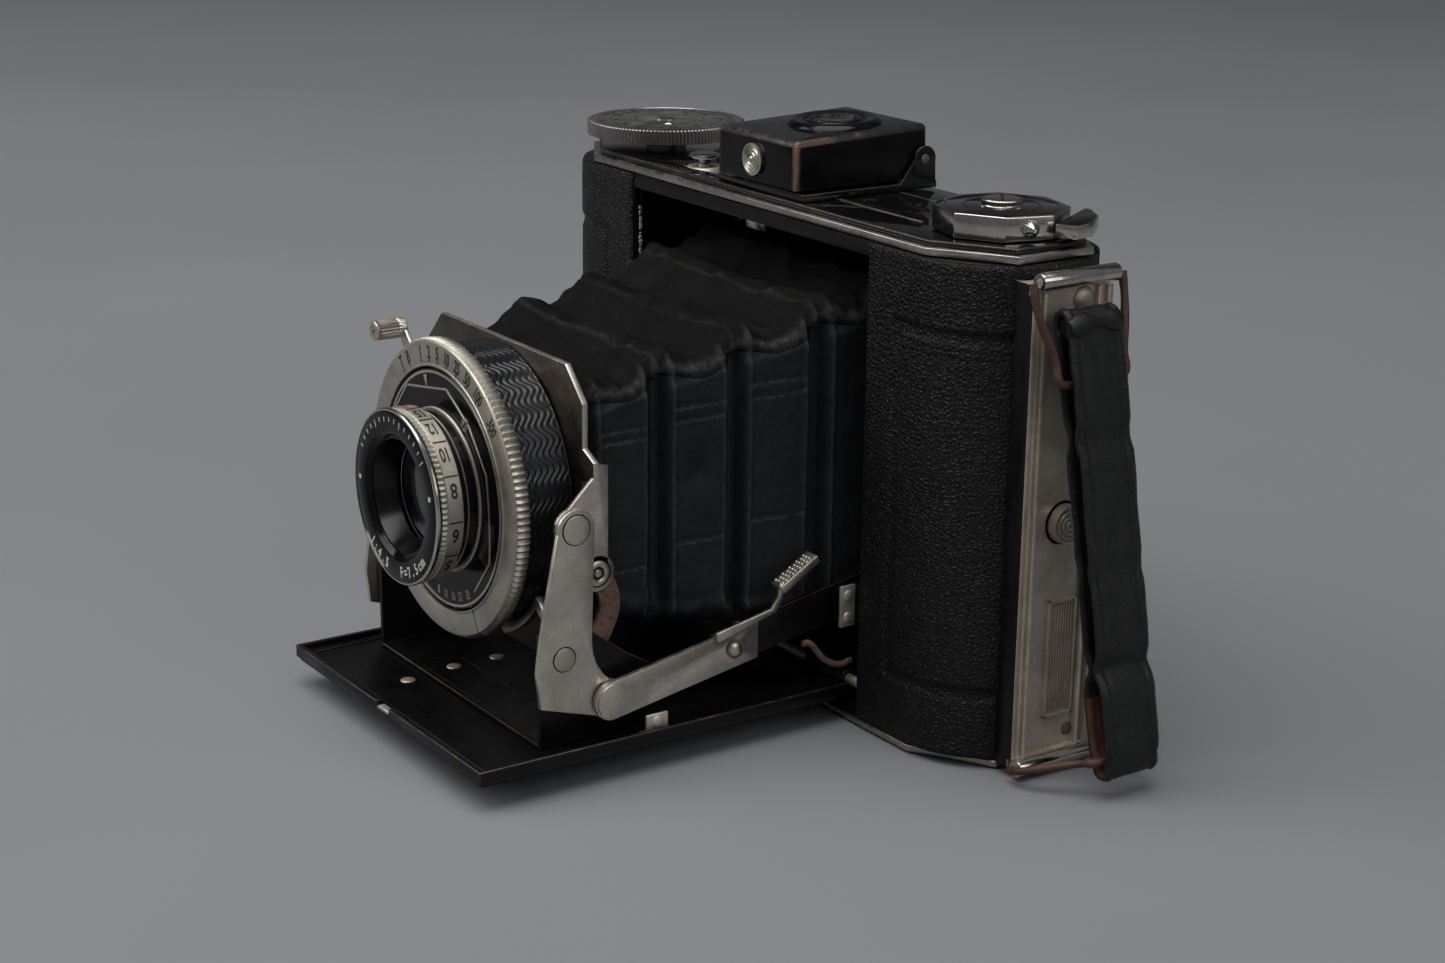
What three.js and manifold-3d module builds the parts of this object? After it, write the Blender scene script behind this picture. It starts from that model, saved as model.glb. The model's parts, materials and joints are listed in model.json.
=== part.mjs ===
// Folding roll-film camera of the 1930s, opened ready to shoot.
// Millimetres, +Z up, lens looking along -Y, carrying strap at the +X end.
// The origin is under the middle of the body, on the surface that it stands on.
import * as THREE from "three";
import { mergeVertices } from "three/addons/utils/BufferGeometryUtils.js";
import Module from "manifold-3d";

const wasm = await Module();
wasm.setup();

// ---------------------------------------------------------------- driving dimensions
const HEIGHT = 76.6; // over the two nickel end plates of the body
const PLATE = 1.1; // their thickness
const CAP = { long: 44.6, half: 56.6, deep: 14.2, end: 6.9 }; // their eight-sided outline
const SHELL = { centre: 43.8, round: 14.1, wall: 1.2, low: 1.3, high: 75.3, back: 9.8 };
const LEATHER = 0.5;
const THROAT = 31.2; // half width of the space that the lens folds into
const LIP = 73.1; // lower edge of the strip that runs across above its mouth
const SPOOL = { x: 44.3, chamber: 12.2, flange: 11.6, core: 4.4 };
const DECK = { low: 76.7, high: 77.5, inset: 1.0 };
const AXIS = 38.1; // height of the lens
const BED = { hingeY: -12.6, hingeZ: 5.9, half: 30.1, front: -78.5, low: 4.2, floor: 5.0, rim: 6.2 };
const BOARD = { front: -57.4, back: -56.5 };
const GATE = { front: 8.9, back: 9.6 };

// Pivots of the folding struts, as [y, z] in the side view.
const PIVOT = {
  bed: [-63.0, 19.1], // side plate on the bed's bracket
  board: [-60.9, 38.1], // side plate on the lens board
  strut: [-55.6, 11.5], // side plate on the strut
  body: [-9.5, 16.2], // strut on the body
  link: [-50.8, 13.2], // curved link on the bed's bracket
  eyelet: [-56.7, 30.6], // curved link on the lens board
  knee: [-34.4, 15.3], // rivet that joins the two halves of a strut
};

// Layers that the folding pieces lie in, from the middle outwards, as [inner x, outer x].
const LAYER = {
  link: [23.4, 24.2],
  upright: [24.5, 25.2],
  ear: [25.5, 26.2],
  plate: [26.5, 27.3],
  rear: [26.6, 27.3],
  strut: [27.6, 28.4],
  lever: [28.7, 29.3],
};

// ---------------------------------------------------------------- solids
// A closed geometry becomes a solid that can be joined and cut.
function solid(geometry) {
  const bare = geometry.index ? geometry.toNonIndexed() : geometry.clone();
  bare.deleteAttribute("normal");
  bare.deleteAttribute("uv");
  const merged = mergeVertices(bare, 1e-4);
  const triVerts = Uint32Array.from(merged.index.array);
  const vertProperties = Float32Array.from(merged.attributes.position.array);
  let volume = 0;
  const corner = (i) => new THREE.Vector3().fromArray(vertProperties, 3 * triVerts[i]);
  for (let i = 0; i < triVerts.length; i += 3) {
    volume += corner(i).dot(corner(i + 1).cross(corner(i + 2)));
  }
  if (volume < 0) triVerts.reverse();
  return new wasm.Manifold(new wasm.Mesh({ numProp: 3, vertProperties, triVerts }));
}

const join = (first, ...others) => others.reduce((sum, other) => sum.add(other), first);
const cut = (first, ...tools) => tools.reduce((rest, tool) => rest.subtract(tool), first);

// Cuts everything on the far side of a plane: keepBelow("y", 9.8) keeps y < 9.8.
const FAR = 400;
function keepBelow(axis, limit) {
  const low = { x: -FAR, y: -FAR, z: -FAR, [axis]: limit };
  return block([low.x, FAR], [low.y, FAR], [low.z, FAR]);
}
function keepAbove(axis, limit) {
  const high = { x: FAR, y: FAR, z: FAR, [axis]: limit };
  return block([-FAR, high.x], [-FAR, high.y], [-FAR, high.z]);
}

function block([x0, x1], [y0, y1], [z0, z1]) {
  const box = new THREE.BoxGeometry(x1 - x0, y1 - y0, z1 - z0);
  return solid(box.translate((x0 + x1) / 2, (y0 + y1) / 2, (z0 + z1) / 2));
}

// A round bar along an axis; at gives the two other coordinates, in x, y, z order.
function rod(axis, at, radius, [from, to], sides = 20) {
  const bar = new THREE.CylinderGeometry(radius, radius, to - from, sides);
  const middle = (from + to) / 2;
  if (axis === "x") bar.rotateZ(-Math.PI / 2).translate(middle, at[0], at[1]);
  if (axis === "y") bar.translate(at[0], middle, at[1]);
  if (axis === "z") bar.rotateX(Math.PI / 2).translate(at[0], at[1], middle);
  return solid(bar);
}

// A flat outline given thickness along an axis. The outline is drawn in the two other
// coordinates, in x, y, z order.
const BASIS = {
  x: [new THREE.Vector3(0, 1, 0), new THREE.Vector3(0, 0, 1), new THREE.Vector3(1, 0, 0)],
  y: [new THREE.Vector3(1, 0, 0), new THREE.Vector3(0, 0, 1), new THREE.Vector3(0, -1, 0)],
  z: [new THREE.Vector3(1, 0, 0), new THREE.Vector3(0, 1, 0), new THREE.Vector3(0, 0, 1)],
};
function slab(axis, shape, [from, to], curveSegments = 10) {
  const options = { depth: to - from, bevelEnabled: false, curveSegments };
  const flat = new THREE.ExtrudeGeometry(shape, options);
  flat.applyMatrix4(new THREE.Matrix4().makeBasis(...BASIS[axis]));
  const start = { x: [from, 0, 0], y: [0, to, 0], z: [0, 0, from] }[axis];
  return solid(flat.translate(...start));
}

const outline = (points) => new THREE.Shape(points.map(([a, b]) => new THREE.Vector2(a, b)));

// A shape turned about the Z axis through (x, y); the profile is [radius, z] pairs.
function turned(profile, [x, y] = [0, 0], sides = 48) {
  const points = profile.map(([r, h]) => new THREE.Vector2(r, h));
  if (profile[0][0] > 0) points.push(points[0].clone());
  const lathe = new THREE.LatheGeometry(points, sides).rotateX(Math.PI / 2);
  return solid(lathe.translate(x, y, 0));
}

// A strip of even width with round ends that follows a smooth line.
function ribbon(points, halfWidth, steps = 14) {
  const spine = new THREE.SplineCurve(points.map(([a, b]) => new THREE.Vector2(a, b)));
  const side = (sign) =>
    Array.from({ length: steps + 1 }, (_, i) => {
      const along = spine.getTangent(i / steps);
      const across = new THREE.Vector2(-along.y, along.x).multiplyScalar(sign * halfWidth);
      return spine.getPoint(i / steps).add(across);
    });
  const cap = (end, sign) =>
    Array.from({ length: 5 }, (_, i) => {
      const along = spine.getTangent(end).multiplyScalar(sign * halfWidth);
      return spine.getPoint(end).add(along.rotateAround(new THREE.Vector2(), ((2 - i) * Math.PI) / 6));
    });
  return new THREE.Shape([...side(1), ...cap(1, 1), ...side(-1).reverse(), ...cap(0, -1)]);
}

// A round wire that follows a smooth line through points.
function wire(points, radius, steps) {
  const path = new THREE.CatmullRomCurve3(points.map((p) => new THREE.Vector3(...p)), false, "centripetal");
  const section = new THREE.Shape().absarc(0, 0, radius, 0, 2 * Math.PI);
  return solid(new THREE.ExtrudeGeometry(section, { extrudePath: path, steps, curveSegments: 8 }));
}

// Body outline seen from above: straight sides with round ends.
function stadium(radius) {
  const shape = new THREE.Shape();
  shape.absarc(SHELL.centre, 0, radius, -Math.PI / 2, Math.PI / 2);
  shape.absarc(-SHELL.centre, 0, radius, Math.PI / 2, (3 * Math.PI) / 2);
  return shape;
}

// Outline of the two end plates seen from above: a rectangle with its corners cut off.
function capOutline(inset = 0) {
  const { long, half, deep, end } = CAP;
  const quarter = [
    [half - inset, end - inset / 2],
    [long - inset / 2, deep - inset],
  ];
  const mirrored = (sx, sy) => quarter.map(([x, y]) => [sx * x, sy * y]);
  return outline([
    ...mirrored(1, 1),
    ...mirrored(-1, 1).reverse(),
    ...mirrored(-1, -1),
    ...mirrored(1, -1).reverse(),
  ]);
}

// ---------------------------------------------------------------- materials and nodes
const LOOKS = {
  nickel: { color: 0xa9a496, roughness: 0.35, metalness: 1.0 },
  enamel: { color: 0x101012, roughness: 0.25, metalness: 0.0 },
  leather: { color: 0x17181a, roughness: 0.6, metalness: 0.0 },
  strap: { color: 0x141617, roughness: 0.5, metalness: 0.0 },
  cloth: { color: 0x1d2026, roughness: 0.85, metalness: 0.0 },
  blackened: { color: 0x1a1a1b, roughness: 0.5, metalness: 0.6 },
  rusty: { color: 0x6d4a3c, roughness: 0.7, metalness: 0.7 },
  glass: { color: 0x55606a, roughness: 0.05, metalness: 0.0, transparent: true, opacity: 0.4 },
};

const camera = new THREE.Group();

function add(name, look, shape, group = camera) {
  const mesh = shape.getMesh();
  const geometry = new THREE.BufferGeometry();
  geometry.setAttribute("position", new THREE.BufferAttribute(Float32Array.from(mesh.vertProperties), 3));
  geometry.setIndex(new THREE.BufferAttribute(Uint32Array.from(mesh.triVerts), 1));
  geometry.computeVertexNormals();
  const node = new THREE.Mesh(geometry, new THREE.MeshStandardMaterial(LOOKS[look]));
  node.name = name;
  group.add(node);
}

const SIDES = { right: 1, left: -1 };
const mirror = (shape, side) => (side > 0 ? shape : shape.mirror([1, 0, 0]));

// ---------------------------------------------------------------- body
const KNOB_HOLE = 2.4;
const RELEASE = { x: -21.5, y: -7.2, stem: 1.1, hole: 1.5, head: 2.6 };
const BACK_HINGE = { x: -55.2, y: 11.4, knuckle: 1.4, pin: 0.7 };
const topHoles = () => [
  rod("z", [SPOOL.x, 0], KNOB_HOLE, [70, 90]),
  rod("z", [RELEASE.x, RELEASE.y], RELEASE.hole, [70, 90]),
];

// Knuckles of the back's hinge over the given heights, with the tongue that carries them.
function knuckle([low, high], tongue) {
  const { x, y, pin } = BACK_HINGE;
  const barrel = rod("z", [x, y], BACK_HINGE.knuckle, [low, high], 16);
  const arm = slab("z", outline(tongue), [low, high]);
  return cut(join(barrel, arm), rod("z", [x, y], pin + 0.2, [low - 1, high + 1], 16));
}

const BACK_TONGUE = {
  body: [[-52.9, 9.2], [-53.4, 9.75], [-55.0, 10.7], [-55.9, 10.2], [-54.0, 8.7]],
  cover: [[-52.6, 11.0], [-52.6, 13.3], [-54.8, 12.6], [-54.2, 11.6]],
};

function bodyShell() {
  const inner = [SHELL.low + SHELL.wall, SHELL.high - SHELL.wall];
  const hull = cut(slab("z", stadium(SHELL.round), [SHELL.low, SHELL.high], 14), keepBelow("y", SHELL.back));
  const hollows = [
    block([-THROAT, THROAT], [-13.1, SHELL.back + 1], inner),
    block([-THROAT - 0.8, THROAT + 0.8], [-20, -13.0], [inner[0], LIP]),
  ];
  for (const side of [1, -1]) {
    const edges = (a, b) => [side * a, side * b].sort((p, q) => p - q);
    hollows.push(rod("z", [side * SPOOL.x, 0], SPOOL.chamber, inner, 32));
    hollows.push(block(edges(34, 52.6), [0, SHELL.back + 1], inner)); // way in for a spool
    hollows.push(block(edges(31, 34.2), [5.8, SHELL.back + 1], inner)); // room for a roller
  }
  const lugs = [];
  for (const side of [1, -1]) {
    const plate = block([THROAT - 0.7, THROAT + 0.1], [-13.9, -11.4], [15.6, 22.4]);
    const pin = rod("x", PIVOT.body, 1.2, [LAYER.rear[1] + 0.2, THROAT + 0.1], 12);
    lugs.push(mirror(plate, side), mirror(pin, side));
  }
  for (const span of [[3, 12], [34, 42], [64.5, 73.5]]) lugs.push(knuckle(span, BACK_TONGUE.body));
  return cut(join(cut(hull, ...hollows), ...lugs), ...topHoles());
}

// Leather glued round one end of the body, from the throat to the back.
function endLeather(side) {
  const skin = cut(
    slab("z", stadium(SHELL.round + LEATHER), [SHELL.low + 0.1, SHELL.high - 0.1], 14),
    slab("z", stadium(SHELL.round + 0.02), [0, HEIGHT], 14),
  );
  const low = side > 0 ? keepAbove("x", THROAT + 1) : keepBelow("x", -THROAT - 1);
  return cut(skin, low, keepBelow("y", side > 0 ? SHELL.back : 8.4));
}

function filmGate() {
  const plate = block([-30.6, 30.6], [GATE.front, GATE.back], [2.7, 73.9]);
  const window = block([-21, 21], [GATE.front - 1, GATE.back + 1], [10, 66.6]);
  return cut(plate, window);
}

function filmRoller(side) {
  const bar = rod("z", [side * 32.6, 8.0], 1.6, [3.6, 73.0], 16);
  return join(bar, rod("z", [side * 32.6, 8.0], 0.7, [2.7, 73.9], 10));
}

add("body_shell", "enamel", bodyShell());
add("film_gate", "blackened", filmGate());
for (const [name, side] of Object.entries(SIDES)) {
  add(`leather_${name}`, "leather", endLeather(side));
  add(`film_roller_${name}`, "nickel", filmRoller(side));
}
add("top_trim", "nickel", cut(slab("z", capOutline(), [HEIGHT - PLATE, HEIGHT]), ...topHoles()));
add("top_deck", "enamel", cut(slab("z", capOutline(DECK.inset), [DECK.low, DECK.high]), ...topHoles()));
add("bottom_plate", "nickel", slab("z", capOutline(), [0, PLATE]));
add("bed_hinge_pin", "nickel", rod("x", [BED.hingeY, BED.hingeZ], 0.8, [-THROAT + 0.2, THROAT - 0.2], 12));

// ---------------------------------------------------------------- back cover
const BACK = { front: 10.1, inner: 13.1, windowX: 22.5, windowZ: 38.3, window: 3.2 };

function backCover() {
  const hull = cut(slab("z", stadium(SHELL.round), [SHELL.low, SHELL.high], 14), keepAbove("y", BACK.front));
  const hollow = slab("z", stadium(BACK.inner), [SHELL.low + 1.1, SHELL.high - 1.1], 14);
  const windows = [1, -1].map((s) => rod("y", [s * BACK.windowX, BACK.windowZ], BACK.window, [12, 16]));
  const knuckles = [[12.4, 33.6], [42.4, 64.1]].map((span) => knuckle(span, BACK_TONGUE.cover));
  return join(cut(hull, hollow, ...windows), ...knuckles);
}

function backLeather() {
  const outer = slab("z", stadium(SHELL.round + LEATHER), [SHELL.low + 0.1, SHELL.high - 0.1], 14);
  const skin = cut(outer, slab("z", stadium(SHELL.round + 0.02), [0, HEIGHT], 14));
  const windows = [1, -1].map((s) => rod("y", [s * BACK.windowX, BACK.windowZ], BACK.window + 1, [12, 16]));
  const hinge = block([-60, -52.2], [0, 20], [0, 80]);
  return cut(skin, keepAbove("y", BACK.front + 0.1), ...windows, hinge);
}

// Leaf spring that bows between the back and the pressure plate.
function pressureSpring() {
  const bow = ribbon([[-20, 12.7], [-8, 12.4], [0, 11.7], [8, 12.4], [20, 12.7]], 0.2, 12);
  return slab("z", bow, [34, 42.6]);
}

add("back_cover", "enamel", backCover());
add("back_leather", "leather", backLeather());
add("back_hinge_pin", "nickel", rod("z", [BACK_HINGE.x, BACK_HINGE.y], BACK_HINGE.pin, [3, 73.6], 10));
add("pressure_plate", "blackened", block([-26, 26], [10.0, 10.7], [7.5, 69]));
add("pressure_spring", "nickel", pressureSpring());
add("window_slide", "nickel", cut(
  block([-34, 28], [14.8, 15.5], [34.6, 42]),
  ...[1, -1].map((s) => rod("y", [s * BACK.windowX - 7, BACK.windowZ], BACK.window, [14, 17])),
));

// ---------------------------------------------------------------- strap end
const END = { inner: 50, face: 59.6, rail: 60.5, half: 7.4, bar: 61.2, latchY: 1.0, latchZ: 37.5 };

function endPlate() {
  const plate = block([END.inner, END.face], [-END.half, END.half], [1.4, 73.4]);
  const rails = [-1, 1].flatMap((side) =>
    [[4.7, 5.3], [6.5, END.half]].map(([a, b]) => {
      const [y0, y1] = [side * a, side * b].sort((p, q) => p - q);
      return block([END.face - 0.3, END.rail], [y0, y1], [2.6, 72]);
    }),
  );
  const bars = [1.6, 73.9].map((z) => rod("y", [END.bar, z], 1.2, [-7.0, 7.0], 14));
  const tabs = [[1.4, 2.8], [72.6, 73.4]].map((span) => block([END.face - 0.3, END.bar], [-6.4, 6.4], span));
  const saddle = rod("z", [SHELL.centre, 0], SHELL.round + LEATHER + 0.3, [-5, 80], 64);
  const latch = rod("x", [END.latchY, END.latchZ], 3.3, [50, 70], 24);
  return cut(join(plate, ...rails, ...bars, ...tabs), saddle, latch);
}

// The strap's centre line in the side view: it bows outwards and its foot swings to the back.
const STRAP = { half: 4.9, loop: 1.8, skin: 0.9 };
const strapLine = new THREE.SplineCurve(
  [[63.4, 68.4], [65.4, 57], [69.4, 31], [71.8, 14], [73.2, 4.6]].map(([x, z]) => new THREE.Vector2(x, z)),
);
const strapDrift = (z) => 3.4 * (1 - z / 70);
const strapShear = new THREE.Matrix4().set(1, 0, 0, 0, 0, 1, -3.4 / 70, 3.4, 0, 0, 1, 0, 0, 0, 0, 1);

// A flat loop of leather: two layers that meet round a wire at each end.
function carryStrap() {
  const points = strapLine.getPoints(10).map((p) => [p.x, p.y]);
  const band = (halfThick, half) => {
    const flat = new THREE.ExtrudeGeometry(ribbon(points, halfThick, 20), { depth: 2 * half, bevelEnabled: false });
    flat.applyMatrix4(new THREE.Matrix4().makeBasis(...BASIS.y)).translate(0, half, 0);
    return solid(flat.applyMatrix4(strapShear));
  };
  return cut(band(STRAP.loop, STRAP.half), band(STRAP.loop - STRAP.skin, STRAP.half + 2));
}

// A wire stirrup from the ends of a rolled bar to the strap.
function stirrup(barZ, strapX, strapZ) {
  const y = strapDrift(strapZ);
  const reach = STRAP.half + 1.2;
  const leg = (side) =>
    [[0, side * 8.2], [0.3, side * 8.0], [0.75, y + side * (reach + 0.3)], [1, y + side * (reach - 0.4)]].map(
      ([share, across]) => [END.bar + share * (strapX - END.bar), across, barZ + share * (strapZ - barZ)],
    );
  return wire([...leg(-1), [strapX, y, strapZ], ...leg(1).reverse()], 0.6, 32);
}

add("end_plate", "nickel", endPlate());
add("back_latch_button", "nickel", rod("x", [END.latchY, END.latchZ], 2.9, [59.7, 61.6], 24));
add("carry_strap", "strap", carryStrap());
add("strap_wire_top", "rusty", stirrup(73.9, 64.8, 60));
add("strap_wire_bottom", "rusty", stirrup(1.6, 73.0, 5.8));

// ---------------------------------------------------------------- winding and dial
const DIAL = { radius: 13.4, low: 79.2, high: 81.6, hub: 3.5 };
const KNOB = { radius: 9.9, turn: 8, low: 77.7, high: 81.3 };
const FLAP = { gap: 9.7, hinge: 10.6, low: 78.3, high: 80.3 };

// The winding knob has eight sides and stands turned a few degrees.
function windingKnob() {
  const corner = (i) => THREE.MathUtils.degToRad(KNOB.turn + 45 * i);
  const corners = Array.from({ length: 8 }, (_, i) => [
    SPOOL.x + KNOB.radius * Math.cos(corner(i)),
    KNOB.radius * Math.sin(corner(i)),
  ]);
  const head = slab("z", outline(corners), [KNOB.low, KNOB.high]);
  const shaft = rod("z", [SPOOL.x, 0], 2.0, [71.9, KNOB.low + 0.1]);
  const screw = rod("z", [SPOOL.x, 0], 2.9, [KNOB.high - 0.1, KNOB.high + 1.0], 24);
  return join(head, shaft, screw);
}

// The folding key lies beside one of the knob's flats.
function keyFlap() {
  const facing = THREE.MathUtils.degToRad(KNOB.turn + 22.5);
  const edge = [[FLAP.gap, -4.6], [12.2, -3.9], [13.2, 1.7], [12.0, 4.6], [FLAP.gap, 4.6]];
  const placed = edge.map(([out, along]) => [
    SPOOL.x + out * Math.cos(facing) - along * Math.sin(facing),
    out * Math.sin(facing) + along * Math.cos(facing),
  ]);
  return slab("z", outline(placed), [FLAP.low, FLAP.high]);
}

function takeUpSpool() {
  const { flange, core } = SPOOL;
  const edge = [[0, 3.4], [flange, 3.4], [flange, 4.1], [core, 4.1], [core, 70.9], [flange, 70.9], [flange, 71.6], [0, 71.6]];
  return turned(edge, [SPOOL.x, 0], 32);
}

const dialEdge = [[0, 77.6], [DIAL.hub, 77.6], [DIAL.hub, DIAL.low], [DIAL.radius, DIAL.low], [DIAL.radius, DIAL.high], [0, DIAL.high]];
add("depth_dial", "nickel", turned(dialEdge, [-SPOOL.x, 0]));
add("winding_knob", "nickel", windingKnob());
add("winding_key_flap", "nickel", keyFlap());
add("take_up_spool", "blackened", takeUpSpool());

const buttonEdge = [[0, 73.4], [RELEASE.stem, 73.4], [RELEASE.stem, 79.0], [RELEASE.head, 79.0], [RELEASE.head, 79.9], [0, 79.9]];
add("bed_release_button", "nickel", turned(buttonEdge, [RELEASE.x, RELEASE.y], 20));
add("bed_catch", "nickel", join(
  block([-3.6, 3.6], [-12, -6], [73.2, 73.9]),
  block([-2.6, 2.6], [-12, -11.2], [71.2, 73.4]),
));

// ---------------------------------------------------------------- finder
const FINDER = { left: -9, right: 12, front: -13.2, rear: 12, low: 79.2, topFront: 86.6, topRear: 87.6, wall: 1 };
const FINDER_PIVOT = [11.0, 82.2];
const EYE = { x: 1.8, y: 1.5 };

function finderBase() {
  const plate = block([-9.9, 12.9], [-12.4, 13.4], [77.6, 78.7]);
  const ears = [[12.2, 12.9], [-9.9, -9.2]].map((span) => {
    const foot = slab("x", outline([[6.2, 78.6], [13.2, 78.6], [13.0, 82.2], [9.0, 82.2]]), span);
    return join(foot, rod("x", FINDER_PIVOT, 2.1, span));
  });
  return join(plate, ...ears, rod("x", FINDER_PIVOT, 0.7, [-9.5, 12.5], 10));
}

function finderCover() {
  const { left, right, front, rear, low, topFront, topRear, wall } = FINDER;
  const side = [[front, low], [rear, low], [rear, topRear], [front, topFront]];
  const room = [[front + wall, low - 1], [rear - wall, low - 1], [rear - wall, topRear - wall], [front + wall, topFront - wall]];
  const hull = slab("x", outline(side), [left, right]);
  const ring = rod("z", [EYE.x, EYE.y], 7.4, [86, 88.3], 36);
  const inside = slab("x", outline(room), [left + wall, right - wall]);
  const eye = rod("z", [EYE.x, EYE.y], 3.6, [80, 90], 24);
  const pin = rod("x", FINDER_PIVOT, 0.9, [left - 1, right + 1], 12);
  const button = rod("y", [1.2, 82.6], 2.7, [-14, -11], 20);
  return cut(join(hull, ring), inside, eye, pin, button);
}

function finderFrame() {
  const plate = block([-6.5, 9.5], [-10.6, 5.6], [79.4, 80.4]);
  return cut(plate, block([-4.5, 7.5], [-8.2, 3.8], [79, 81]));
}

add("finder_base", "enamel", finderBase());
add("finder_cover", "enamel", finderCover());
add("finder_eyepiece", "glass", rod("z", [EYE.x, EYE.y], 3.4, [86.9, 87.7], 24));
add("finder_front_frame", "nickel", finderFrame());
add("finder_front_lens", "glass", block([-4.4, 7.4], [-8.1, 3.7], [79.5, 80.3]));
add("finder_catch_button", "nickel", rod("y", [1.2, 82.6], 2.5, [-14.2, -12.5], 20));

// ---------------------------------------------------------------- bed
function bedPan() {
  const { half, front, low, floor, rim, hingeY, hingeZ } = BED;
  const pan = cut(
    block([-half, half], [front, -14.2], [low, rim]),
    block([-half + 0.7, half - 0.7], [front + 0.9, -10], [floor, rim + 1]),
    block([-2, 2], [front - 1, front + 1.2], [floor + 0.2, rim + 1]),
  );
  const knuckles = [1, -1].map((side) => {
    const leaf = block([18, 28], [-14.3, hingeY], [4.5, floor]);
    const barrel = join(leaf, rod("x", [hingeY, hingeZ], 1.45, [18, 28], 16));
    return mirror(cut(barrel, rod("x", [hingeY, hingeZ], 0.95, [17, 29], 16)), side);
  });
  return join(pan, ...knuckles);
}

// Bracket that stands on the bed and carries the side plates and the curved links.
function standardBracket() {
  const [inner, outer] = LAYER.upright;
  const base = block([-outer, outer], [-66, -47], [BED.floor + 0.1, BED.floor + 0.6]);
  const side = outline([[-66, 5.1], [-47, 5.1], [-47, 14.6], [-51, 17], [-58.5, 22.6], [-66, 22.6]]);
  const uprights = [1, -1].map((s) => mirror(slab("x", side, [inner, outer]), s));
  return join(base, ...uprights);
}

// Side plate between bed, strut and lens board: it stands up here and lies along the bed when folded.
function sidePlate() {
  const shape = new THREE.Shape();
  shape.moveTo(-63.9, 37.7);
  shape.bezierCurveTo(-65.4, 30, -66.9, 23, -67.5, 17.6);
  shape.lineTo(-66.9, 12.2);
  shape.lineTo(-57.2, 9.2);
  shape.lineTo(-52.6, 12.6);
  shape.bezierCurveTo(-55.6, 14.2, -58.4, 16.6, -58.4, 21);
  shape.lineTo(-57.9, 38.1);
  shape.lineTo(-60.9, 41.1);
  const [inner, outer] = LAYER.plate;
  const plate = slab("x", shape, [inner, outer], 6);
  const ends = [rod("x", PIVOT.board, 3.0, [inner, outer]), rod("x", PIVOT.strut, 3.0, [inner, outer])];
  const post = rod("x", PIVOT.bed, 1.1, [LAYER.upright[1] + 0.2, inner + 0.1], 12);
  return join(plate, ...ends, post);
}

// Curved link between the bed's bracket and the lens board.
function curvedLink() {
  const spine = [PIVOT.eyelet, [-53.0, 27.4], [-54.2, 21.6], [-55.0, 17.6], PIVOT.link];
  const bar = slab("x", ribbon(spine, 1.7), LAYER.link);
  const eyes = [PIVOT.eyelet, PIVOT.link].map((at) => rod("x", at, 2.2, LAYER.link, 16));
  return join(bar, ...eyes);
}

add("bed", "enamel", bedPan());
add("bed_leather", "leather", block([-29.6, 29.6], [-78, -15], [3.6, BED.low - 0.01]));
add("standard_bracket", "enamel", standardBracket());
for (const [name, side] of Object.entries(SIDES)) {
  add(`side_plate_${name}`, "nickel", mirror(sidePlate(), side));
  add(`curved_link_${name}`, "rusty", mirror(curvedLink(), side));
}

// ---------------------------------------------------------------- struts
const STRUT_HALF = 2.9;
const strutLine = (y) => PIVOT.strut[1] + 0.178 * (y - PIVOT.strut[0]); // centre line of the bar

// A straight bar between two places along the strut, with a round boss at the given pivot.
function strutBar([from, to], boss, layer) {
  const half = STRUT_HALF;
  const bar = outline([
    [from, strutLine(from) - half],
    [to, strutLine(to) - half],
    [to, strutLine(to) + half],
    [from, strutLine(from) + half],
  ]);
  return join(slab("x", bar, layer), rod("x", boss, half, layer));
}

function strutFront() {
  const bar = strutBar([PIVOT.strut[0], -30.2], PIVOT.strut, LAYER.strut);
  const outer = LAYER.strut[1];
  const heads = [rod("x", PIVOT.strut, 2.6, [outer - 0.1, outer + 0.4]), rod("x", PIVOT.knee, 1.1, [outer - 0.1, outer + 0.2], 12)];
  return join(bar, ...heads);
}

const strutRear = () => {
  const lug = rod("x", PIVOT.body, 2.4, LAYER.rear);
  return join(strutBar([-37.6, PIVOT.body[0] - 0.4], [PIVOT.body[0] - 0.6, 18.6], LAYER.rear), lug);
};

// Thumb lever along the top of the right strut: pressing it breaks the lock.
function closingLever() {
  const arm = outline([[-38.2, 18.6], [-28.4, 20.6], [-27.2, 22.2], [-27.0, 24.6], [-26.2, 24.6], [-26.3, 21.8], [-27.6, 20.0], [-37.8, 17.2]]);
  const tab = outline([[-27.2, 23.9], [-20.6, 27.8], [-20.0, 26.8], [-26.4, 22.9]]);
  const knob = slab("x", tab, [LAYER.lever[0] - 1.6, LAYER.lever[1] + 0.6]);
  return join(slab("x", arm, LAYER.lever), knob);
}

for (const [name, side] of Object.entries(SIDES)) {
  add(`strut_front_${name}`, "nickel", mirror(strutFront(), side));
  add(`strut_rear_${name}`, "enamel", mirror(strutRear(), side));
}
add("closing_lever", "nickel", closingLever());

// ---------------------------------------------------------------- lens board and bellows
function lensBoard() {
  const half = [[18.5, 59.8], [23.2, 54.9], [23.2, 48.4], [26.2, 47.0], [26.2, 44.4], [23.2, 43.6], [23.2, 20.4], [18.6, 15.8]];
  const mirrored = half.map(([x, z]) => [-x, z]).reverse();
  const board = slab("y", outline([...half, ...mirrored]), [BOARD.front, BOARD.back]);
  const [inner, outer] = LAYER.ear;
  const flange = outline([[-57.4, 47.0], [-55.0, 46.4], [-55.0, 30.6], [-58.2, 30.6], [-63.0, 36.6], [-62.0, 40.4], [-57.4, 44.8]]);
  const ears = [1, -1].map((side) => {
    const sheet = slab("x", flange, [inner, outer]);
    const discs = [rod("x", PIVOT.board, 2.8, [inner, outer]), rod("x", PIVOT.eyelet, 2.2, [inner, outer])];
    return mirror(join(sheet, ...discs), side);
  });
  return cut(join(board, ...ears), rod("y", [0, AXIS], 12.5, [-60, -50], 40));
}

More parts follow.
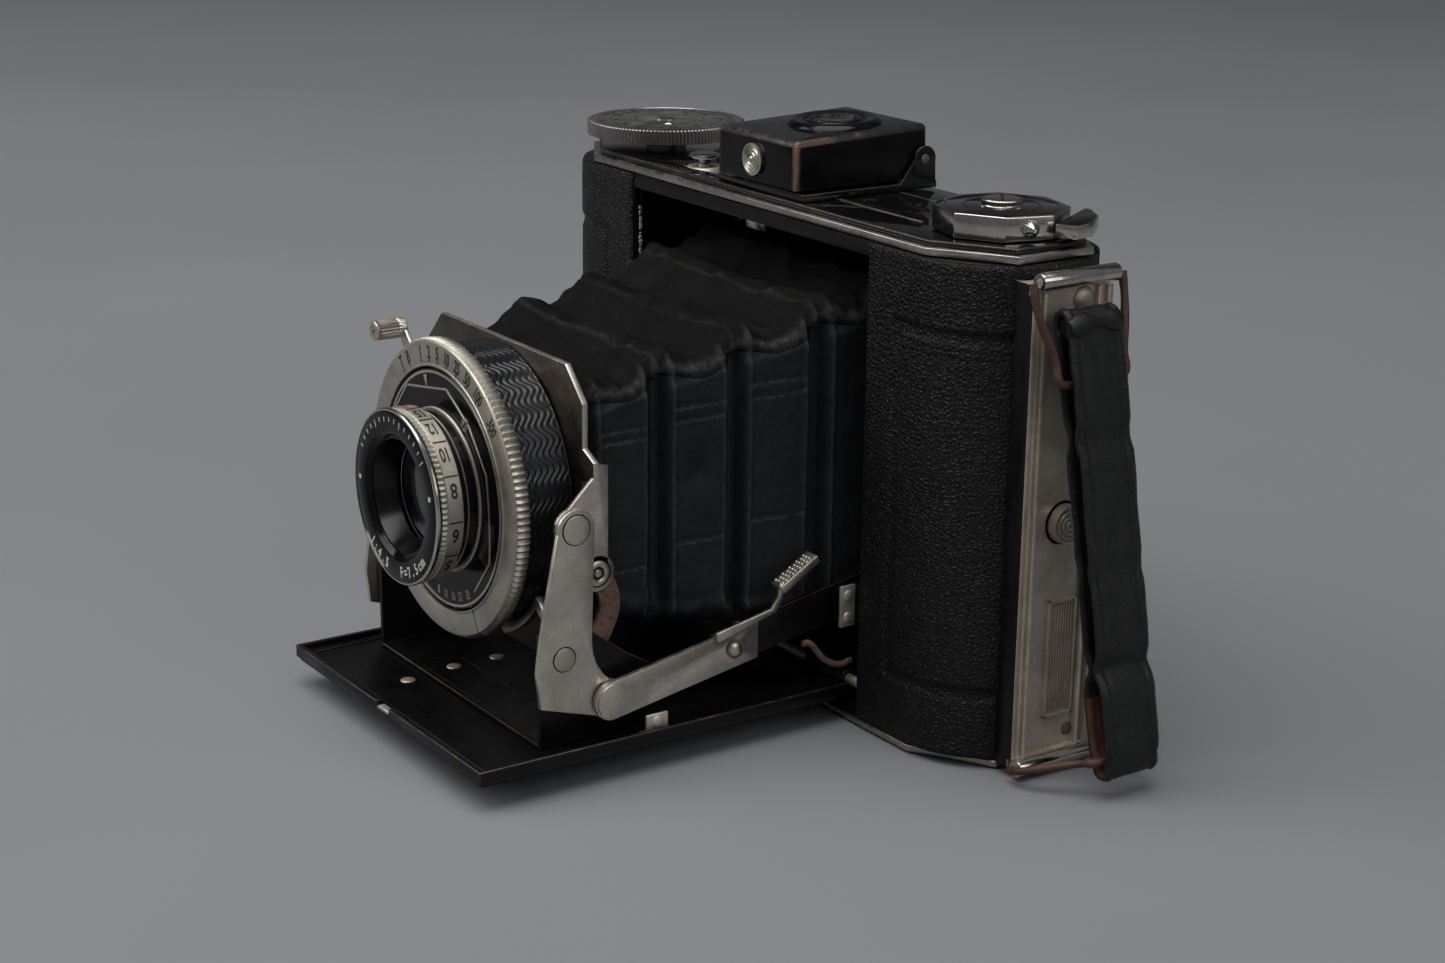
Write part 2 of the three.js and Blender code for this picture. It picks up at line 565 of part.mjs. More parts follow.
// Bellows: a hollow eight-sided sleeve that widens from the lens board to the film gate.
function bellows() {
  const { front, back } = { front: BOARD.back + 0.3, back: GATE.front - 0.3 };
  const section = (inset) => {
    const [w, low, high, c] = [26.4 - inset, 13 + inset, 69 - inset, 9 - inset / 2];
    return [[w, low + c], [w, high - c], [w - c, high], [c - w, high], [-w, high - c], [-w, low + c], [c - w, low], [w - c, low]];
  };
  const sleeve = outline(section(0));
  sleeve.holes.push(outline(section(1.4)));
  const tube = new THREE.ExtrudeGeometry(sleeve, { depth: back - front, bevelEnabled: false });
  tube.applyMatrix4(new THREE.Matrix4().makeBasis(...BASIS.y)).translate(0, back, 0);
  const place = tube.attributes.position;
  for (let i = 0; i < place.count; i++) {
    if (place.getY(i) > 0) continue; // the wide end stays as drawn
    place.setX(i, place.getX(i) * 0.78);
    place.setZ(i, AXIS + (place.getZ(i) - 41) * 0.7);
  }
  return solid(tube);
}

add("lens_board", "nickel", lensBoard());
add("bellows", "cloth", bellows());

// ---------------------------------------------------------------- shutter and lens
// The shutter's own frame: +Z forwards from the lens board's face, +Y up.
const shutter = new THREE.Group();
shutter.position.set(0, BOARD.front, AXIS);
shutter.rotation.x = Math.PI / 2;
camera.add(shutter);

const ring = (inner, outer, low, high) => [[inner, low], [outer, low], [outer, high], [inner, high]];

// A flat arc piece about the lens axis, between two angles in degrees.
function arc(inner, outer, [from, to], span) {
  const [a, b] = [from, to].map(THREE.MathUtils.degToRad);
  const shape = new THREE.Shape();
  shape.absarc(0, 0, outer, a, b, false);
  shape.absarc(0, 0, inner, b, a, true);
  return slab("z", shape, span);
}

// A flat arm that points outwards from the lens axis at an angle in degrees.
function spoke(angle, [from, to], half, span) {
  const arm = outline([[from, -half], [to, -half], [to, half], [from, half]]);
  return slab("z", arm, span).rotate([0, 0, angle]);
}

function shutterCase() {
  const drum = turned([
    [10.6, -1.8], [12.2, -1.8], [12.2, 0.3], [21.2, 0.3], [21.2, 6.6], [19.6, 6.6],
    [19.6, 1.5], [11.8, 1.5], [11.8, 9.0], [10.6, 9.0],
  ]);
  const socket = spoke(-110, [21, 25], 1.4, [2.6, 5.4]); // where a cable release screws in
  return join(drum, socket);
}

const cockingLever = () => {
  const pad = spoke(131, [25.8, 28.6], 1.9, [6.8, 12.0]);
  return join(arc(20.2, 21.4, [118, 146], [6.8, 7.5]), spoke(131, [21.0, 27.6], 1.3, [6.8, 7.5]), pad);
};

const apertureLever = () => {
  const pin = spoke(-153, [23.7, 25.3], 0.8, [6.8, 10.6]);
  return join(arc(20.2, 21.4, [-176, -132], [6.8, 7.5]), spoke(-153, [21.0, 25.3], 0.8, [6.8, 7.5]), pin);
};

const releaseLever = () => {
  const tip = spoke(-38, [21.6, 24.6], 0.8, [3.4, 4.6]);
  return join(arc(21.6, 22.7, [-70, -37], [3.4, 4.6]), tip);
};

const dome = (radius, edge, low, high, bulge) => [
  [0, low - bulge / 2], [radius * 0.6, low - bulge / 3], [radius, low], [edge, high],
  [radius * 0.75, high + bulge * 0.45], [radius * 0.4, high + bulge * 0.85], [0, high + bulge],
];

add("shutter_case", "blackened", shutterCase(), shutter);
add("speed_ring", "nickel", turned([
  [18.3, 9.2], [21.6, 9.2], [21.6, 8.0], [22.5, 8.0], [22.5, 10.4], [18.3, 10.4],
]), shutter);
add("shutter_face", "enamel", turned(ring(12.2, 18.0, 9.3, 10.2)), shutter);
add("lens_barrel", "nickel", turned([
  [9.6, 9.3], [11.6, 9.3], [11.6, 10.5], [14.6, 10.5], [14.6, 11.6], [11.6, 12.6], [11.6, 13.2], [9.6, 13.2],
]), shutter);
add("focus_ring", "nickel", turned(ring(10.2, 13.0, 13.5, 17.1)), shutter);
add("name_ring", "enamel", turned([
  [8.9, 13.5], [9.9, 13.5], [9.9, 17.4], [13.2, 17.4], [13.2, 17.9], [9.8, 18.1], [8.9, 17.2],
]), shutter);
add("front_lens", "glass", turned(dome(8.6, 8.6, 11.4, 12.4, 1.8), [0, 0], 32), shutter);
add("rear_lens_cell", "enamel", turned(ring(8.4, 10.3, -3.1, -0.2), [0, 0], 32), shutter);
add("shutter_blades", "blackened", turned([[0, 5.0], [10.3, 5.0], [10.3, 5.4], [0, 5.4]], [0, 0], 32), shutter);
add("iris_diaphragm", "blackened", turned(ring(7.6, 10.3, 3.2, 3.8), [0, 0], 32), shutter);
add("cocking_lever", "nickel", cockingLever(), shutter);
add("aperture_lever", "nickel", apertureLever(), shutter);
add("release_lever", "nickel", releaseLever(), shutter);

export default camera;
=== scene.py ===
"""Looks of a 1930s folding roll-film camera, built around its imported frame.

Lengths are in millimetres in the row frame (+Z up, lens along -Y, strap at +X) until a
piece is made, and in metres in Blender.
"""

import json
import math

import bmesh
import bpy
import numpy as np
from mathutils import Matrix, Vector, noise


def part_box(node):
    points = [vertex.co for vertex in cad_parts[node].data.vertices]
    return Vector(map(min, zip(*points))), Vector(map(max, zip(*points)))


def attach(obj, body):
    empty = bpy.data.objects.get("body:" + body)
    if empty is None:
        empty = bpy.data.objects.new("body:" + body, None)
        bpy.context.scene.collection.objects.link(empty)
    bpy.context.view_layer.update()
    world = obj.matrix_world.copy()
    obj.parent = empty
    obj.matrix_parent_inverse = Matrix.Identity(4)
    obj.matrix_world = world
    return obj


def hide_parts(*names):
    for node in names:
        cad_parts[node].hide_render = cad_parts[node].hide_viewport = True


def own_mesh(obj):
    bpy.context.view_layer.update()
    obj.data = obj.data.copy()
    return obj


MM = 0.001
pi, sin, cos, rad = math.pi, math.sin, math.cos, math.radians

# ------------------------------------------------------------------ camera
AZIMUTH, ELEVATION, ROLL = rad(55.72), rad(17.05), rad(0.71)
DISTANCE, SHIFT_RIGHT, SHIFT_UP = 419.05, -14.19, 27.04
FOCAL = 62.71


def placed(name, data):
    """A new object in the scene, smooth shaded if it is a mesh."""
    if isinstance(data, bpy.types.Mesh):
        data.polygons.foreach_set("use_smooth", [True] * len(data.polygons))
    thing = bpy.data.objects.new(name, data)
    bpy.context.scene.collection.objects.link(thing)
    return thing


def make_camera():
    back = Vector((sin(AZIMUTH) * cos(ELEVATION), -cos(AZIMUTH) * cos(ELEVATION), sin(ELEVATION)))
    level = Vector((cos(AZIMUTH), sin(AZIMUTH), 0))
    upright = back.cross(level)
    right = cos(ROLL) * level + sin(ROLL) * upright
    up = -sin(ROLL) * level + cos(ROLL) * upright
    data = bpy.data.cameras.new("camera")
    data.lens = FOCAL
    data.sensor_width = 36
    data.clip_start = 0.01
    cam = placed("camera", data)
    place = (back * DISTANCE + right * SHIFT_RIGHT + up * SHIFT_UP) * MM
    cam.matrix_world = Matrix.Translation(place) @ Matrix((right, up, back)).transposed().to_4x4()
    bpy.context.scene.camera = cam


make_camera()
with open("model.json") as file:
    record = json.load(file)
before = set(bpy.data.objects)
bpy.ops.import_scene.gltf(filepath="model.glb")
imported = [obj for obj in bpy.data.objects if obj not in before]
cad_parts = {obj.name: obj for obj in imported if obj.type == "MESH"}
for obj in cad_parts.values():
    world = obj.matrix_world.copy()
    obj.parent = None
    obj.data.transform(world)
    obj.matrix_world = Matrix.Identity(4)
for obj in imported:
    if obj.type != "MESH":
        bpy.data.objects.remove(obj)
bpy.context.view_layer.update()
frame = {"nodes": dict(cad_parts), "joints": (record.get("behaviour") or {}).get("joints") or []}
NODES = frame["nodes"]


# ------------------------------------------------------------------ materials
class Look:
    """A procedural material: a Principled shader and the nodes that feed it.

    Scales are in cycles per millimetre, because the texture space is the piece's own
    place in the row frame.
    """

    def __init__(self, name, **fixed):
        self.material = bpy.data.materials.new(name)
        self.material.use_nodes = True
        self.tree = self.material.node_tree
        self.shader = self.tree.nodes["Principled BSDF"]
        self.place = self.tree.nodes.new("ShaderNodeTexCoord").outputs["Object"]
        for socket, value in fixed.items():
            self.set(socket.replace("_", " "), value)

    def feed(self, target, value):
        """Links a node's output to an input, or sets the input's own value."""
        if isinstance(value, bpy.types.NodeSocket):
            self.tree.links.new(value, target)
        elif target.type == "RGBA" and len(value) == 3:
            target.default_value = (*value, 1)
        else:
            target.default_value = value

    def set(self, socket, value):
        self.feed(self.shader.inputs[socket], value)

    def node(self, kind, inputs=(), **settings):
        made = self.tree.nodes.new("ShaderNode" + kind)
        for key, value in settings.items():
            setattr(made, key, value)
        for key, value in dict(inputs).items():
            self.feed(made.inputs[key], value)
        return made

    def noise(self, scale, detail=3.0, rough=0.55, twist=0.0, vector=None):
        inputs = {"Vector": vector or self.place, "Scale": scale / MM, "Detail": detail}
        inputs.update({"Roughness": rough, "Distortion": twist})
        return self.node("TexNoise", inputs).outputs["Fac"]

    def cell_edges(self, scale, vector=None):
        """How far it is to the nearest edge between cells."""
        inputs = {"Vector": vector or self.place, "Scale": scale / MM}
        return self.node("TexVoronoi", inputs, feature="DISTANCE_TO_EDGE").outputs["Distance"]

    def stretch(self, x, y, z):
        return self.node("Mapping", {"Vector": self.place, "Scale": (x, y, z)}).outputs[0]

    def math(self, how, a, b):
        return self.node("Math", {0: a, 1: b}, operation=how).outputs[0]

    def plus(self, a, b):
        return self.math("ADD", a, b)

    def times(self, a, b):
        return self.math("MULTIPLY", a, b)

    def span(self, value, low, high, to_low=0.0, to_high=1.0):
        """Maps a value from low..high to to_low..to_high, held at both ends."""
        inputs = {"Value": value, "From Min": low, "From Max": high}
        inputs.update({"To Min": to_low, "To Max": to_high})
        return self.node("MapRange", inputs).outputs[0]

    def mix(self, share, a, b):
        return self.node("Mix", {0: share, 6: a, 7: b}, data_type="RGBA").outputs[2]

    def bump(self, height, depth, under=None):
        """Raises the surface by height times depth millimetres."""
        inputs = {"Height": height, "Distance": depth * MM, "Strength": 1.0}
        if under:
            inputs["Normal"] = under
        normal = self.node("Bump", inputs).outputs[0]
        self.set("Normal", normal)
        return normal


def shade(tone, share):
    return tuple(share * c for c in tone)


def nickel(name, tone, rough=(0.28, 0.5), spots=0.6, pits=0.02, metal=1.0):
    """Old nickel plate: clouded, pitted, with brown spots where it has worn through."""
    look = Look(name)
    cloud = look.noise(0.12, 5, 0.65, 0.4)
    fine = look.noise(2.2, 4, 0.7)
    spot = look.span(look.noise(0.9, 6, 0.75, 0.6), 0.62, 0.70)
    spot = look.times(spot, look.span(cloud, 0.42, 0.62))
    spot = look.times(spot, spots)
    base = look.mix(look.span(cloud, 0.35, 0.7), tone, shade(tone, 0.62))
    base = look.mix(look.span(fine, 0.45, 0.8, 0, 0.5), base, shade(tone, 0.45))
    look.set("Base Color", look.mix(spot, base, (0.10, 0.065, 0.04)))
    look.set("Metallic", look.math("SUBTRACT", metal, look.times(spot, 0.8)))
    wear = look.span(look.noise(0.35, 4), 0.3, 0.7, *rough)
    look.set("Roughness", look.plus(wear, look.times(spot, 0.3)))
    under = look.bump(look.noise(0.25, 2), 0.05)
    look.bump(look.plus(fine, look.times(spot, -0.8)), pits, under)
    return look.material


def enamel(name, tone=(0.004, 0.004, 0.0043), rough=(0.12, 0.3), dust=0.35, chips=0.0, shine=0.3):
    """Black stove enamel: glossy, a little wavy, with dust in it and small chips."""
    look = Look(name, Specular_IOR_Level=shine)
    specks = look.span(look.noise(1.6, 4, 0.85), 0.67, 0.71, 0, dust)
    base = look.mix(specks, tone, (0.075, 0.07, 0.062))
    if chips:
        chip = look.span(look.noise(0.8, 5, 0.7, 0.8), 0.68, 0.71, 0, chips)
        base = look.mix(chip, base, (0.16, 0.10, 0.07))
    look.set("Base Color", base)
    rubbed = look.span(look.noise(0.2, 4, 0.6), 0.35, 0.7, *rough)
    look.set("Roughness", look.plus(rubbed, look.times(specks, 0.9)))
    under = look.bump(look.noise(0.3, 2), 0.02)
    look.bump(look.noise(3, 3), 0.004, under)
    return look.material


def worn_edge(name, metal=(0.30, 0.19, 0.13), share=(0.40, 0.62)):
    """The edge of an enamelled piece, rubbed down to brown metal in places."""
    look = Look(name)
    bare = look.span(look.noise(0.22, 5, 0.7, 0.5), *share)
    look.set("Base Color", look.mix(bare, (0.008, 0.008, 0.008), metal))
    look.set("Metallic", look.times(bare, 0.75))
    look.set("Roughness", look.span(look.noise(1.2, 3), 0.3, 0.7, 0.3, 0.55))
    return look.material


def grained_leather(name):
    """Pebbled leather: rounded grains with dark creases between them, and spots of verdigris."""
    look = Look(name, Specular_IOR_Level=0.3)
    tone = (0.0028, 0.0029, 0.0033)
    wander = look.node("TexNoise", {"Vector": look.place, "Scale": 0.9 / MM}).outputs["Color"]
    warp = look.node("MixRGB", {0: 0.0009, 1: look.place, 2: wander}, blend_type="ADD")
    edge = look.cell_edges(1.45, warp.outputs[0])
    pebble = look.span(edge, 0.02, 0.32)
    worn = look.span(look.noise(0.07, 4, 0.6), 0.45, 0.75, 0, 0.6)
    top = look.mix(worn, tone, shade(tone, 2.4))
    dusty = look.span(look.noise(4.5, 2, 0.8), 0.70, 0.76, 0, 0.35)
    base = look.mix(pebble, shade(tone, 0.35), top)
    green = look.span(look.noise(0.45, 5, 0.75), 0.70, 0.72, 0, 0.5)
    base = look.mix(green, base, (0.02, 0.05, 0.04))
    look.set("Base Color", look.mix(dusty, base, (0.12, 0.12, 0.12)))
    look.set("Roughness", look.span(pebble, 0, 1, 0.65, 0.33))
    under = look.bump(look.noise(0.12, 3), 0.35)
    under = look.bump(pebble, 0.15, under)
    look.bump(look.noise(6, 2), 0.012, under)
    return look.material


def soft_cloth(name, tone=(0.0062, 0.0068, 0.0082), shine=0.3):
    """Bellows cloth: dull blue-black, rubbed grey on its ridges, with dust and scratches."""
    look = Look(name, Specular_IOR_Level=shine)
    ridge = look.node("Attribute", attribute_name="ridge").outputs["Fac"]
    rub = look.times(look.span(ridge, 0.3, 1.0), look.span(look.noise(0.8, 5, 0.7), 0.3, 0.65))
    cloud = look.span(look.noise(0.09, 5, 0.65, 0.6), 0.35, 0.7)
    base = look.mix(cloud, tone, shade(tone, 1.7))
    base = look.mix(look.times(rub, 0.8), base, (0.060, 0.060, 0.058))
    dusty = look.span(look.noise(1.7, 4, 0.85), 0.66, 0.70, 0, 0.35)
    look.set("Base Color", look.mix(dusty, base, (0.16, 0.16, 0.155)))
    look.set("Roughness", look.span(look.noise(0.3, 4), 0.3, 0.7, 0.55, 0.8))
    weave = look.times(look.noise(3.2, 3, 0.7), look.noise(1.1, 3))
    under = look.bump(look.noise(0.28, 4, 0.6), 0.30)
    look.bump(weave, 0.12, under)
    return look.material


def smooth_leather(name):
    """Strap leather: fine grain, long creases across it."""
    look = Look(name, Specular_IOR_Level=0.4)
    tone = (0.0025, 0.0027, 0.0027)
    lines = look.noise(0.5, 6, 0.7, 0.8, look.stretch(0.6, 0.5, 1.6))
    grain = look.cell_edges(3.4)
    worn = look.span(look.noise(0.12, 5), 0.45, 0.75)
    look.set("Base Color", look.mix(worn, tone, shade(tone, 2.1)))
    look.set("Roughness", look.span(look.noise(0.25, 4), 0.3, 0.7, 0.22, 0.42))
    under = look.bump(lines, 0.16)
    look.bump(look.span(grain, 0, 0.25), 0.03, under)
    return look.material


def suede(name):
    """The strap's unfinished inner face, where it is worn to a red-brown."""
    look = Look(name)
    tone = (0.16, 0.055, 0.03)
    base = look.mix(look.span(look.noise(0.7, 5, 0.7), 0.3, 0.7), tone, shade(tone, 0.35))
    look.set("Base Color", base)
    look.set("Roughness", look.span(look.noise(2, 3), 0.2, 0.8, 0.7, 0.95))
    look.bump(look.noise(3, 5, 0.8), 0.12)
    return look.material


def rusty(name, tone=(0.30, 0.19, 0.14)):
    """Steel under flakes of brown rust."""
    look = Look(name)
    flake = look.noise(1.1, 6, 0.75, 0.5)
    base = look.mix(look.span(flake, 0.35, 0.65), tone, (0.055, 0.028, 0.018))
    look.set("Base Color", base)
    look.set("Metallic", look.span(flake, 0.35, 0.6, 0.75, 0.1))
    look.set("Roughness", look.span(flake, 0.3, 0.7, 0.35, 0.8))
    look.bump(flake, 0.10)
    return look.material


def plain(name, tone, rough=0.5, metal=0.0):
    """Paint or blackened metal with slight changes of tone."""
    look = Look(name, Metallic=metal)
    share = look.span(look.noise(0.9, 4, 0.65), 0.35, 0.7)
    look.set("Base Color", look.mix(share, tone, shade(tone, 0.75)))
    look.set("Roughness", look.span(look.noise(0.6, 3), 0.3, 0.7, rough - 0.08, rough + 0.08))
    look.bump(look.noise(2.5, 3), 0.008)
    return look.material


def glass(name, tint, rough=0.02, coat=0.0):
    """Clear glass, faintly smeared, with a violet coating where coat isn't 0."""
    look = Look(name, Transmission_Weight=1.0, IOR=1.5, Coat_Weight=coat, Coat_Tint=(0.8, 0.76, 0.95))
    smear = look.span(look.noise(0.5, 4), 0.5, 0.8, rough, rough + 0.1)
    cloud = look.span(look.noise(0.2, 2), 0.3, 0.7)
    look.set("Base Color", look.mix(cloud, tint, shade(tint, 0.9)))
    look.set("Roughness", smear)
    return look.material


SATIN = nickel("satin_nickel", (0.74, 0.68, 0.585), (0.30, 0.44), 0.5)
RING = nickel("ring_nickel", (0.56, 0.525, 0.45), (0.42, 0.54), 0.6)
# A much darker nickel with brown stains; on the lens board's front it is painted shade as well as stains.
STAINED_AND_SHADED = nickel("stained_and_shaded_nickel", (0.15, 0.13, 0.10), (0.30, 0.48), 0.8)
BRIGHT = nickel("bright_nickel", (0.66, 0.63, 0.57), (0.10, 0.24), 0.35, 0.006)
AGED = nickel("aged_nickel", (0.66, 0.585, 0.485), (0.40, 0.60), 1.0, 0.03, 0.8)
TRIM = nickel("trim_nickel", (0.50, 0.475, 0.42), (0.22, 0.42), 0.9, 0.02)
DIAL = nickel("dial_nickel", (0.44, 0.425, 0.40), (0.26, 0.42), 0.5, 0.01)
DARK_METAL = plain("dark_metal", (0.012, 0.012, 0.013), 0.45, 0.3)
BLADES = plain("blade_steel", (0.004, 0.004, 0.0045), 0.5, 0.2)
CASE = enamel("case_enamel", (0.006, 0.0065, 0.008), (0.28, 0.42), 0.4, 0.0, 0.45)
GLOSS = enamel("gloss_enamel", (0.003, 0.003, 0.0033), (0.1, 0.22), 0.3, 0.0, 0.2)
CONE = enamel("cone_enamel", (0.002, 0.002, 0.002), (0.2, 0.28), 0.1, 0.0, 0.4)
POLISH = nickel("polished_top", (0.30, 0.285, 0.26), (0.05, 0.12), 0.2, 0.003)
DECK = enamel("deck_enamel", (0.003, 0.003, 0.003), (0.03, 0.09), 0.3, 0.0, 0.5)
DULL = enamel("dull_enamel", (0.0036, 0.0036, 0.0038), (0.26, 0.45), 0.7, 0.5, 0.25)
EDGE = worn_edge("worn_edge", (0.30, 0.18, 0.12), (0.38, 0.54))
DARK_EDGE = worn_edge("dark_edge", (0.13, 0.08, 0.055), (0.50, 0.66))
GRAIN = grained_leather("grained_leather")
CLOTH = soft_cloth("bellows_cloth")
# A darker copy of the cloth for the top faces of the bellows: painted shade, so that the top, lit by the
# overhead lamp, stays dark.
PAINTED_SHADE_TOP_CLOTH = soft_cloth("bellows_top_cloth_painted_shade", (0.0034, 0.0036, 0.0032), 0.06)
STRAP = smooth_leather("strap_leather")
SUEDE = suede("suede")
RUST = rusty("rusty_steel")
WIRE = rusty("strap_wire", (0.10, 0.050, 0.034))
WHITE = plain("white_paint", (0.62, 0.60, 0.54), 0.6)
INK = plain("black_paint", (0.006, 0.006, 0.006), 0.6)
RED = plain("red_paint", (0.45, 0.03, 0.02), 0.5)
LENS = glass("lens_glass", (0.5, 0.54, 0.56), 0.01, 0.25)
CLEAR = glass("finder_glass", (0.8, 0.85, 0.85), 0.05)


# ------------------------------------------------------------------ shapes
AXES = {
    "x": Matrix(((0, 0, 1), (1, 0, 0), (0, 1, 0))),
    "y": Matrix(((1, 0, 0), (0, 0, 1), (0, 1, 0))),
    "z": Matrix(((1, 0, 0), (0, 1, 0), (0, 0, 1))),
}


def shift(x, y, z):
    """A move, as a place to multiply with."""
    return Matrix.Translation((x, y, z))


def spin(angle, axis="Z"):
    """A turn in degrees about an axis."""
    return Matrix.Rotation(rad(angle), 4, axis)


def facing(at, out):
    """A place at a point, with its Z along a direction."""
    return Matrix.Translation(at) @ Vector(out).to_track_quat("Z", "Y").to_matrix().to_4x4()


def quads(rings, around, closed=False):
    """Faces between neighbouring rings of vertices; closed joins the last ring to the first."""
    faces = []
    for j in range(rings if closed else rings - 1):
        a, b = j * around, (j + 1) % rings * around
        for i in range(around):
            k = (i + 1) % around
            faces.append((a + i, a + k, b + k, b + i))
    return faces


def prism(outline, axis, low, high):
    """A flat outline, drawn in the two other coordinates, given thickness along an axis."""
    turn = AXES[axis]
    n = len(outline)
    verts = [turn @ Vector((a, b, h)) for h in (low, high) for a, b in outline]
    sides = [(i, (i + 1) % n, n + (i + 1) % n, n + i) for i in range(n)]
    return verts, [tuple(range(n))[::-1], tuple(range(n, 2 * n)), *sides]


def block(x, y, z):
    return prism([(x[0], y[0]), (x[1], y[0]), (x[1], y[1]), (x[0], y[1])], "z", *z)


def lathe(profile, sides=96, place=Matrix.Identity(4), shape=None):
    """Turns a profile of (radius, height) about Z; shape may change a radius by angle."""
    verts = []
    for r, h in profile:
        for i in range(sides):
            a = 2 * pi * i / sides
            at = shape(r, h, a) if shape else r
            verts.append(place @ Vector((at * cos(a), at * sin(a), h)))
    return verts, quads(len(profile), sides, profile[0][0] > 0)


def washer(inner, outer, low, high, sides, place):
    """A flat ring about a place's Z, or a disc where inner is 0."""
    return lathe([(inner, low), (outer, low), (outer, high), (inner, high)], sides, place)


def toothed(count, depth, inner, low=-100, high=100, sharp=False):
    """A shape for lathe that cuts teeth into what lies outside inner, between two heights."""

    def cut(r, h, angle):
        if r <= inner or not low < h < high:
            return r
        if sharp:
            return r - depth * abs((count * angle / (2 * pi)) % 1 * 2 - 1)
        return r - depth * (0.5 - 0.5 * cos(count * angle))

    return cut


def round_head(radius, height):
    """The profile of a low round rivet head."""
    arc = [(radius * cos(a), height * sin(a)) for a in np.linspace(0, pi / 2, 6)[:-1]]
    return [(0, -0.05), *arc, (0, height)]


def grooved(radii, tall, falls, reaches, deep):
    """The top of a button with ring grooves, as a profile from its rim inwards."""
    edge = []
    for r in radii:
        ridge = tall - falls[1] * r
        edge += [(r, tall - falls[0] * r), (r - reaches[0], ridge)]
        edge += [(r - reach, ridge - deep) for reach in reaches[1:]]
    return edge


def heading(line, i):
    """The direction of a line at its point i."""
    return (line[min(i + 1, len(line) - 1)] - line[max(i - 1, 0)]).normalized()


def tube(points, radius, sides=12):
    """A round bar with closed ends along a line of points."""
    points = [Vector(p) for p in points]
    verts = []
    side = None
    for i, p in enumerate(points):
        along = heading(points, i)
        if side is None:
            side = along.orthogonal().normalized()
        side = (side - along * side.dot(along)).normalized()
        other = along.cross(side)
        r = radius(i / (len(points) - 1)) if callable(radius) else radius
        for k in range(sides):
            a = 2 * pi * k / sides
            verts.append(p + r * (cos(a) * side + sin(a) * other))
    last = (len(points) - 1) * sides
    ends = [tuple(range(sides))[::-1], tuple(range(last, last + sides))]
    return verts, quads(len(points), sides) + ends


def smooth_line(points, steps):
    """Points along a smooth curve through the given ones."""
    p = [Vector(q) for q in points]
    p = [2 * p[0] - p[1], *p, 2 * p[-1] - p[-2]]
    line = []
    for i in range(1, len(p) - 2):
        for s in range(steps):
            t = s / steps
            a, b, c, d = p[i - 1 : i + 3]
            bend = (2 * a - 5 * b + 4 * c - d) * t**2 + (3 * b - a - 3 * c + d) * t**3
            line.append(0.5 * (2 * b + (c - a) * t + bend))
    return [*line, p[-2]]


class Piece:
    """One visible piece, gathered from closed parts that each have a material."""

    def __init__(self, name, body, slot, replaces=()):
        self.name, self.body, self.slot, self.replaced = name, body, slot, replaces
        self.bm = bmesh.new()
        self.looks = []

    def look(self, material):
        """The number of a material's slot on this piece."""
        if material not in self.looks:
            self.looks.append(material)
        return self.looks.index(material)

    def add(self, shape, material, bevel=0.0, move=None):
        """Adds a closed shape of vertices and faces, moved to its place."""
        verts, faces = shape
        bm = bmesh.new()
        made = [bm.verts.new(move @ Vector(v) if move else v) for v in verts]
        for f in faces:
            try:
                bm.faces.new([made[i] for i in f])
            except ValueError:
                continue
        bmesh.ops.remove_doubles(bm, verts=bm.verts, dist=1e-4)
        bmesh.ops.recalc_face_normals(bm, faces=bm.faces)
        self.take(bm, material, bevel)

    def take(self, bm, material, bevel=0.0, edge=None, segments=2, only=None):
        """Takes over a part's mesh, after rounding its edges, or only some of them."""
        main, rim = self.look(material), self.look(edge or material)
        for f in bm.faces:
            f.material_index = main
        if bevel:
            sharp = [e for e in bm.edges if len(e.link_faces) == 2 and e.calc_face_angle() > rad(32)]
            sharp = [e for e in sharp if only is None or only(e)]
            how = {"affect": "EDGES", "clamp_overlap": only is None, "material": rim, "profile": 0.5}
            bmesh.ops.bevel(bm, geom=sharp, offset=bevel, segments=segments, **how)
        mesh = bpy.data.meshes.new("part")
        bm.to_mesh(mesh)
        bm.free()
        self.bm.from_mesh(mesh)
        bpy.data.meshes.remove(mesh)

    def cad(self, node, material, bevel=0.0, edge=None, segments=2, change=None, only=None):
        """Adds a CAD node's own shape with its edges rounded.

        change may move its vertices first, and only picks the edges.
        """
        bm = bmesh.new()
        bm.from_mesh(NODES[node].data)
        bmesh.ops.scale(bm, vec=(1 / MM,) * 3, verts=bm.verts)
        if change:
            change(bm)
        bmesh.ops.remove_doubles(bm, verts=bm.verts, dist=2e-3)
        bmesh.ops.dissolve_limit(bm, angle_limit=rad(0.6), verts=bm.verts, edges=bm.edges)
        self.take(bm, material, bevel, edge, segments, only)

    def dress(self, chosen, material):
        """Gives another material to the faces that chosen picks."""
        self.bm.normal_update()
        index = self.look(material)
        for f in self.bm.faces:
            if chosen(f):
                f.material_index = index

    def done(self, angle=34):
        """Makes the object, smooth but for edges sharper than the angle, and gives it its body."""
        for v in self.bm.verts:
            v.co *= MM
        mesh = bpy.data.meshes.new(self.name)
        self.bm.to_mesh(mesh)
        self.bm.free()
        for m in self.looks:
            mesh.materials.append(m)
        thing = placed(self.name, mesh)
        mesh.set_sharp_from_angle(angle=rad(angle))
        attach(thing, self.body)
        if self.replaced:
            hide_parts(*self.replaced)


def stand_in(node, body, slot):
    """An empty piece that takes a CAD node's place."""
    return Piece(node + "_skin", body, slot, (node,))


def refine(node, body, slot, material, bevel=0.12, edge=None):
    """Stands in for a CAD node with the same shape and rounded edges."""
    piece = stand_in(node, body, slot)
    piece.cad(node, material, bevel, edge)
    return piece


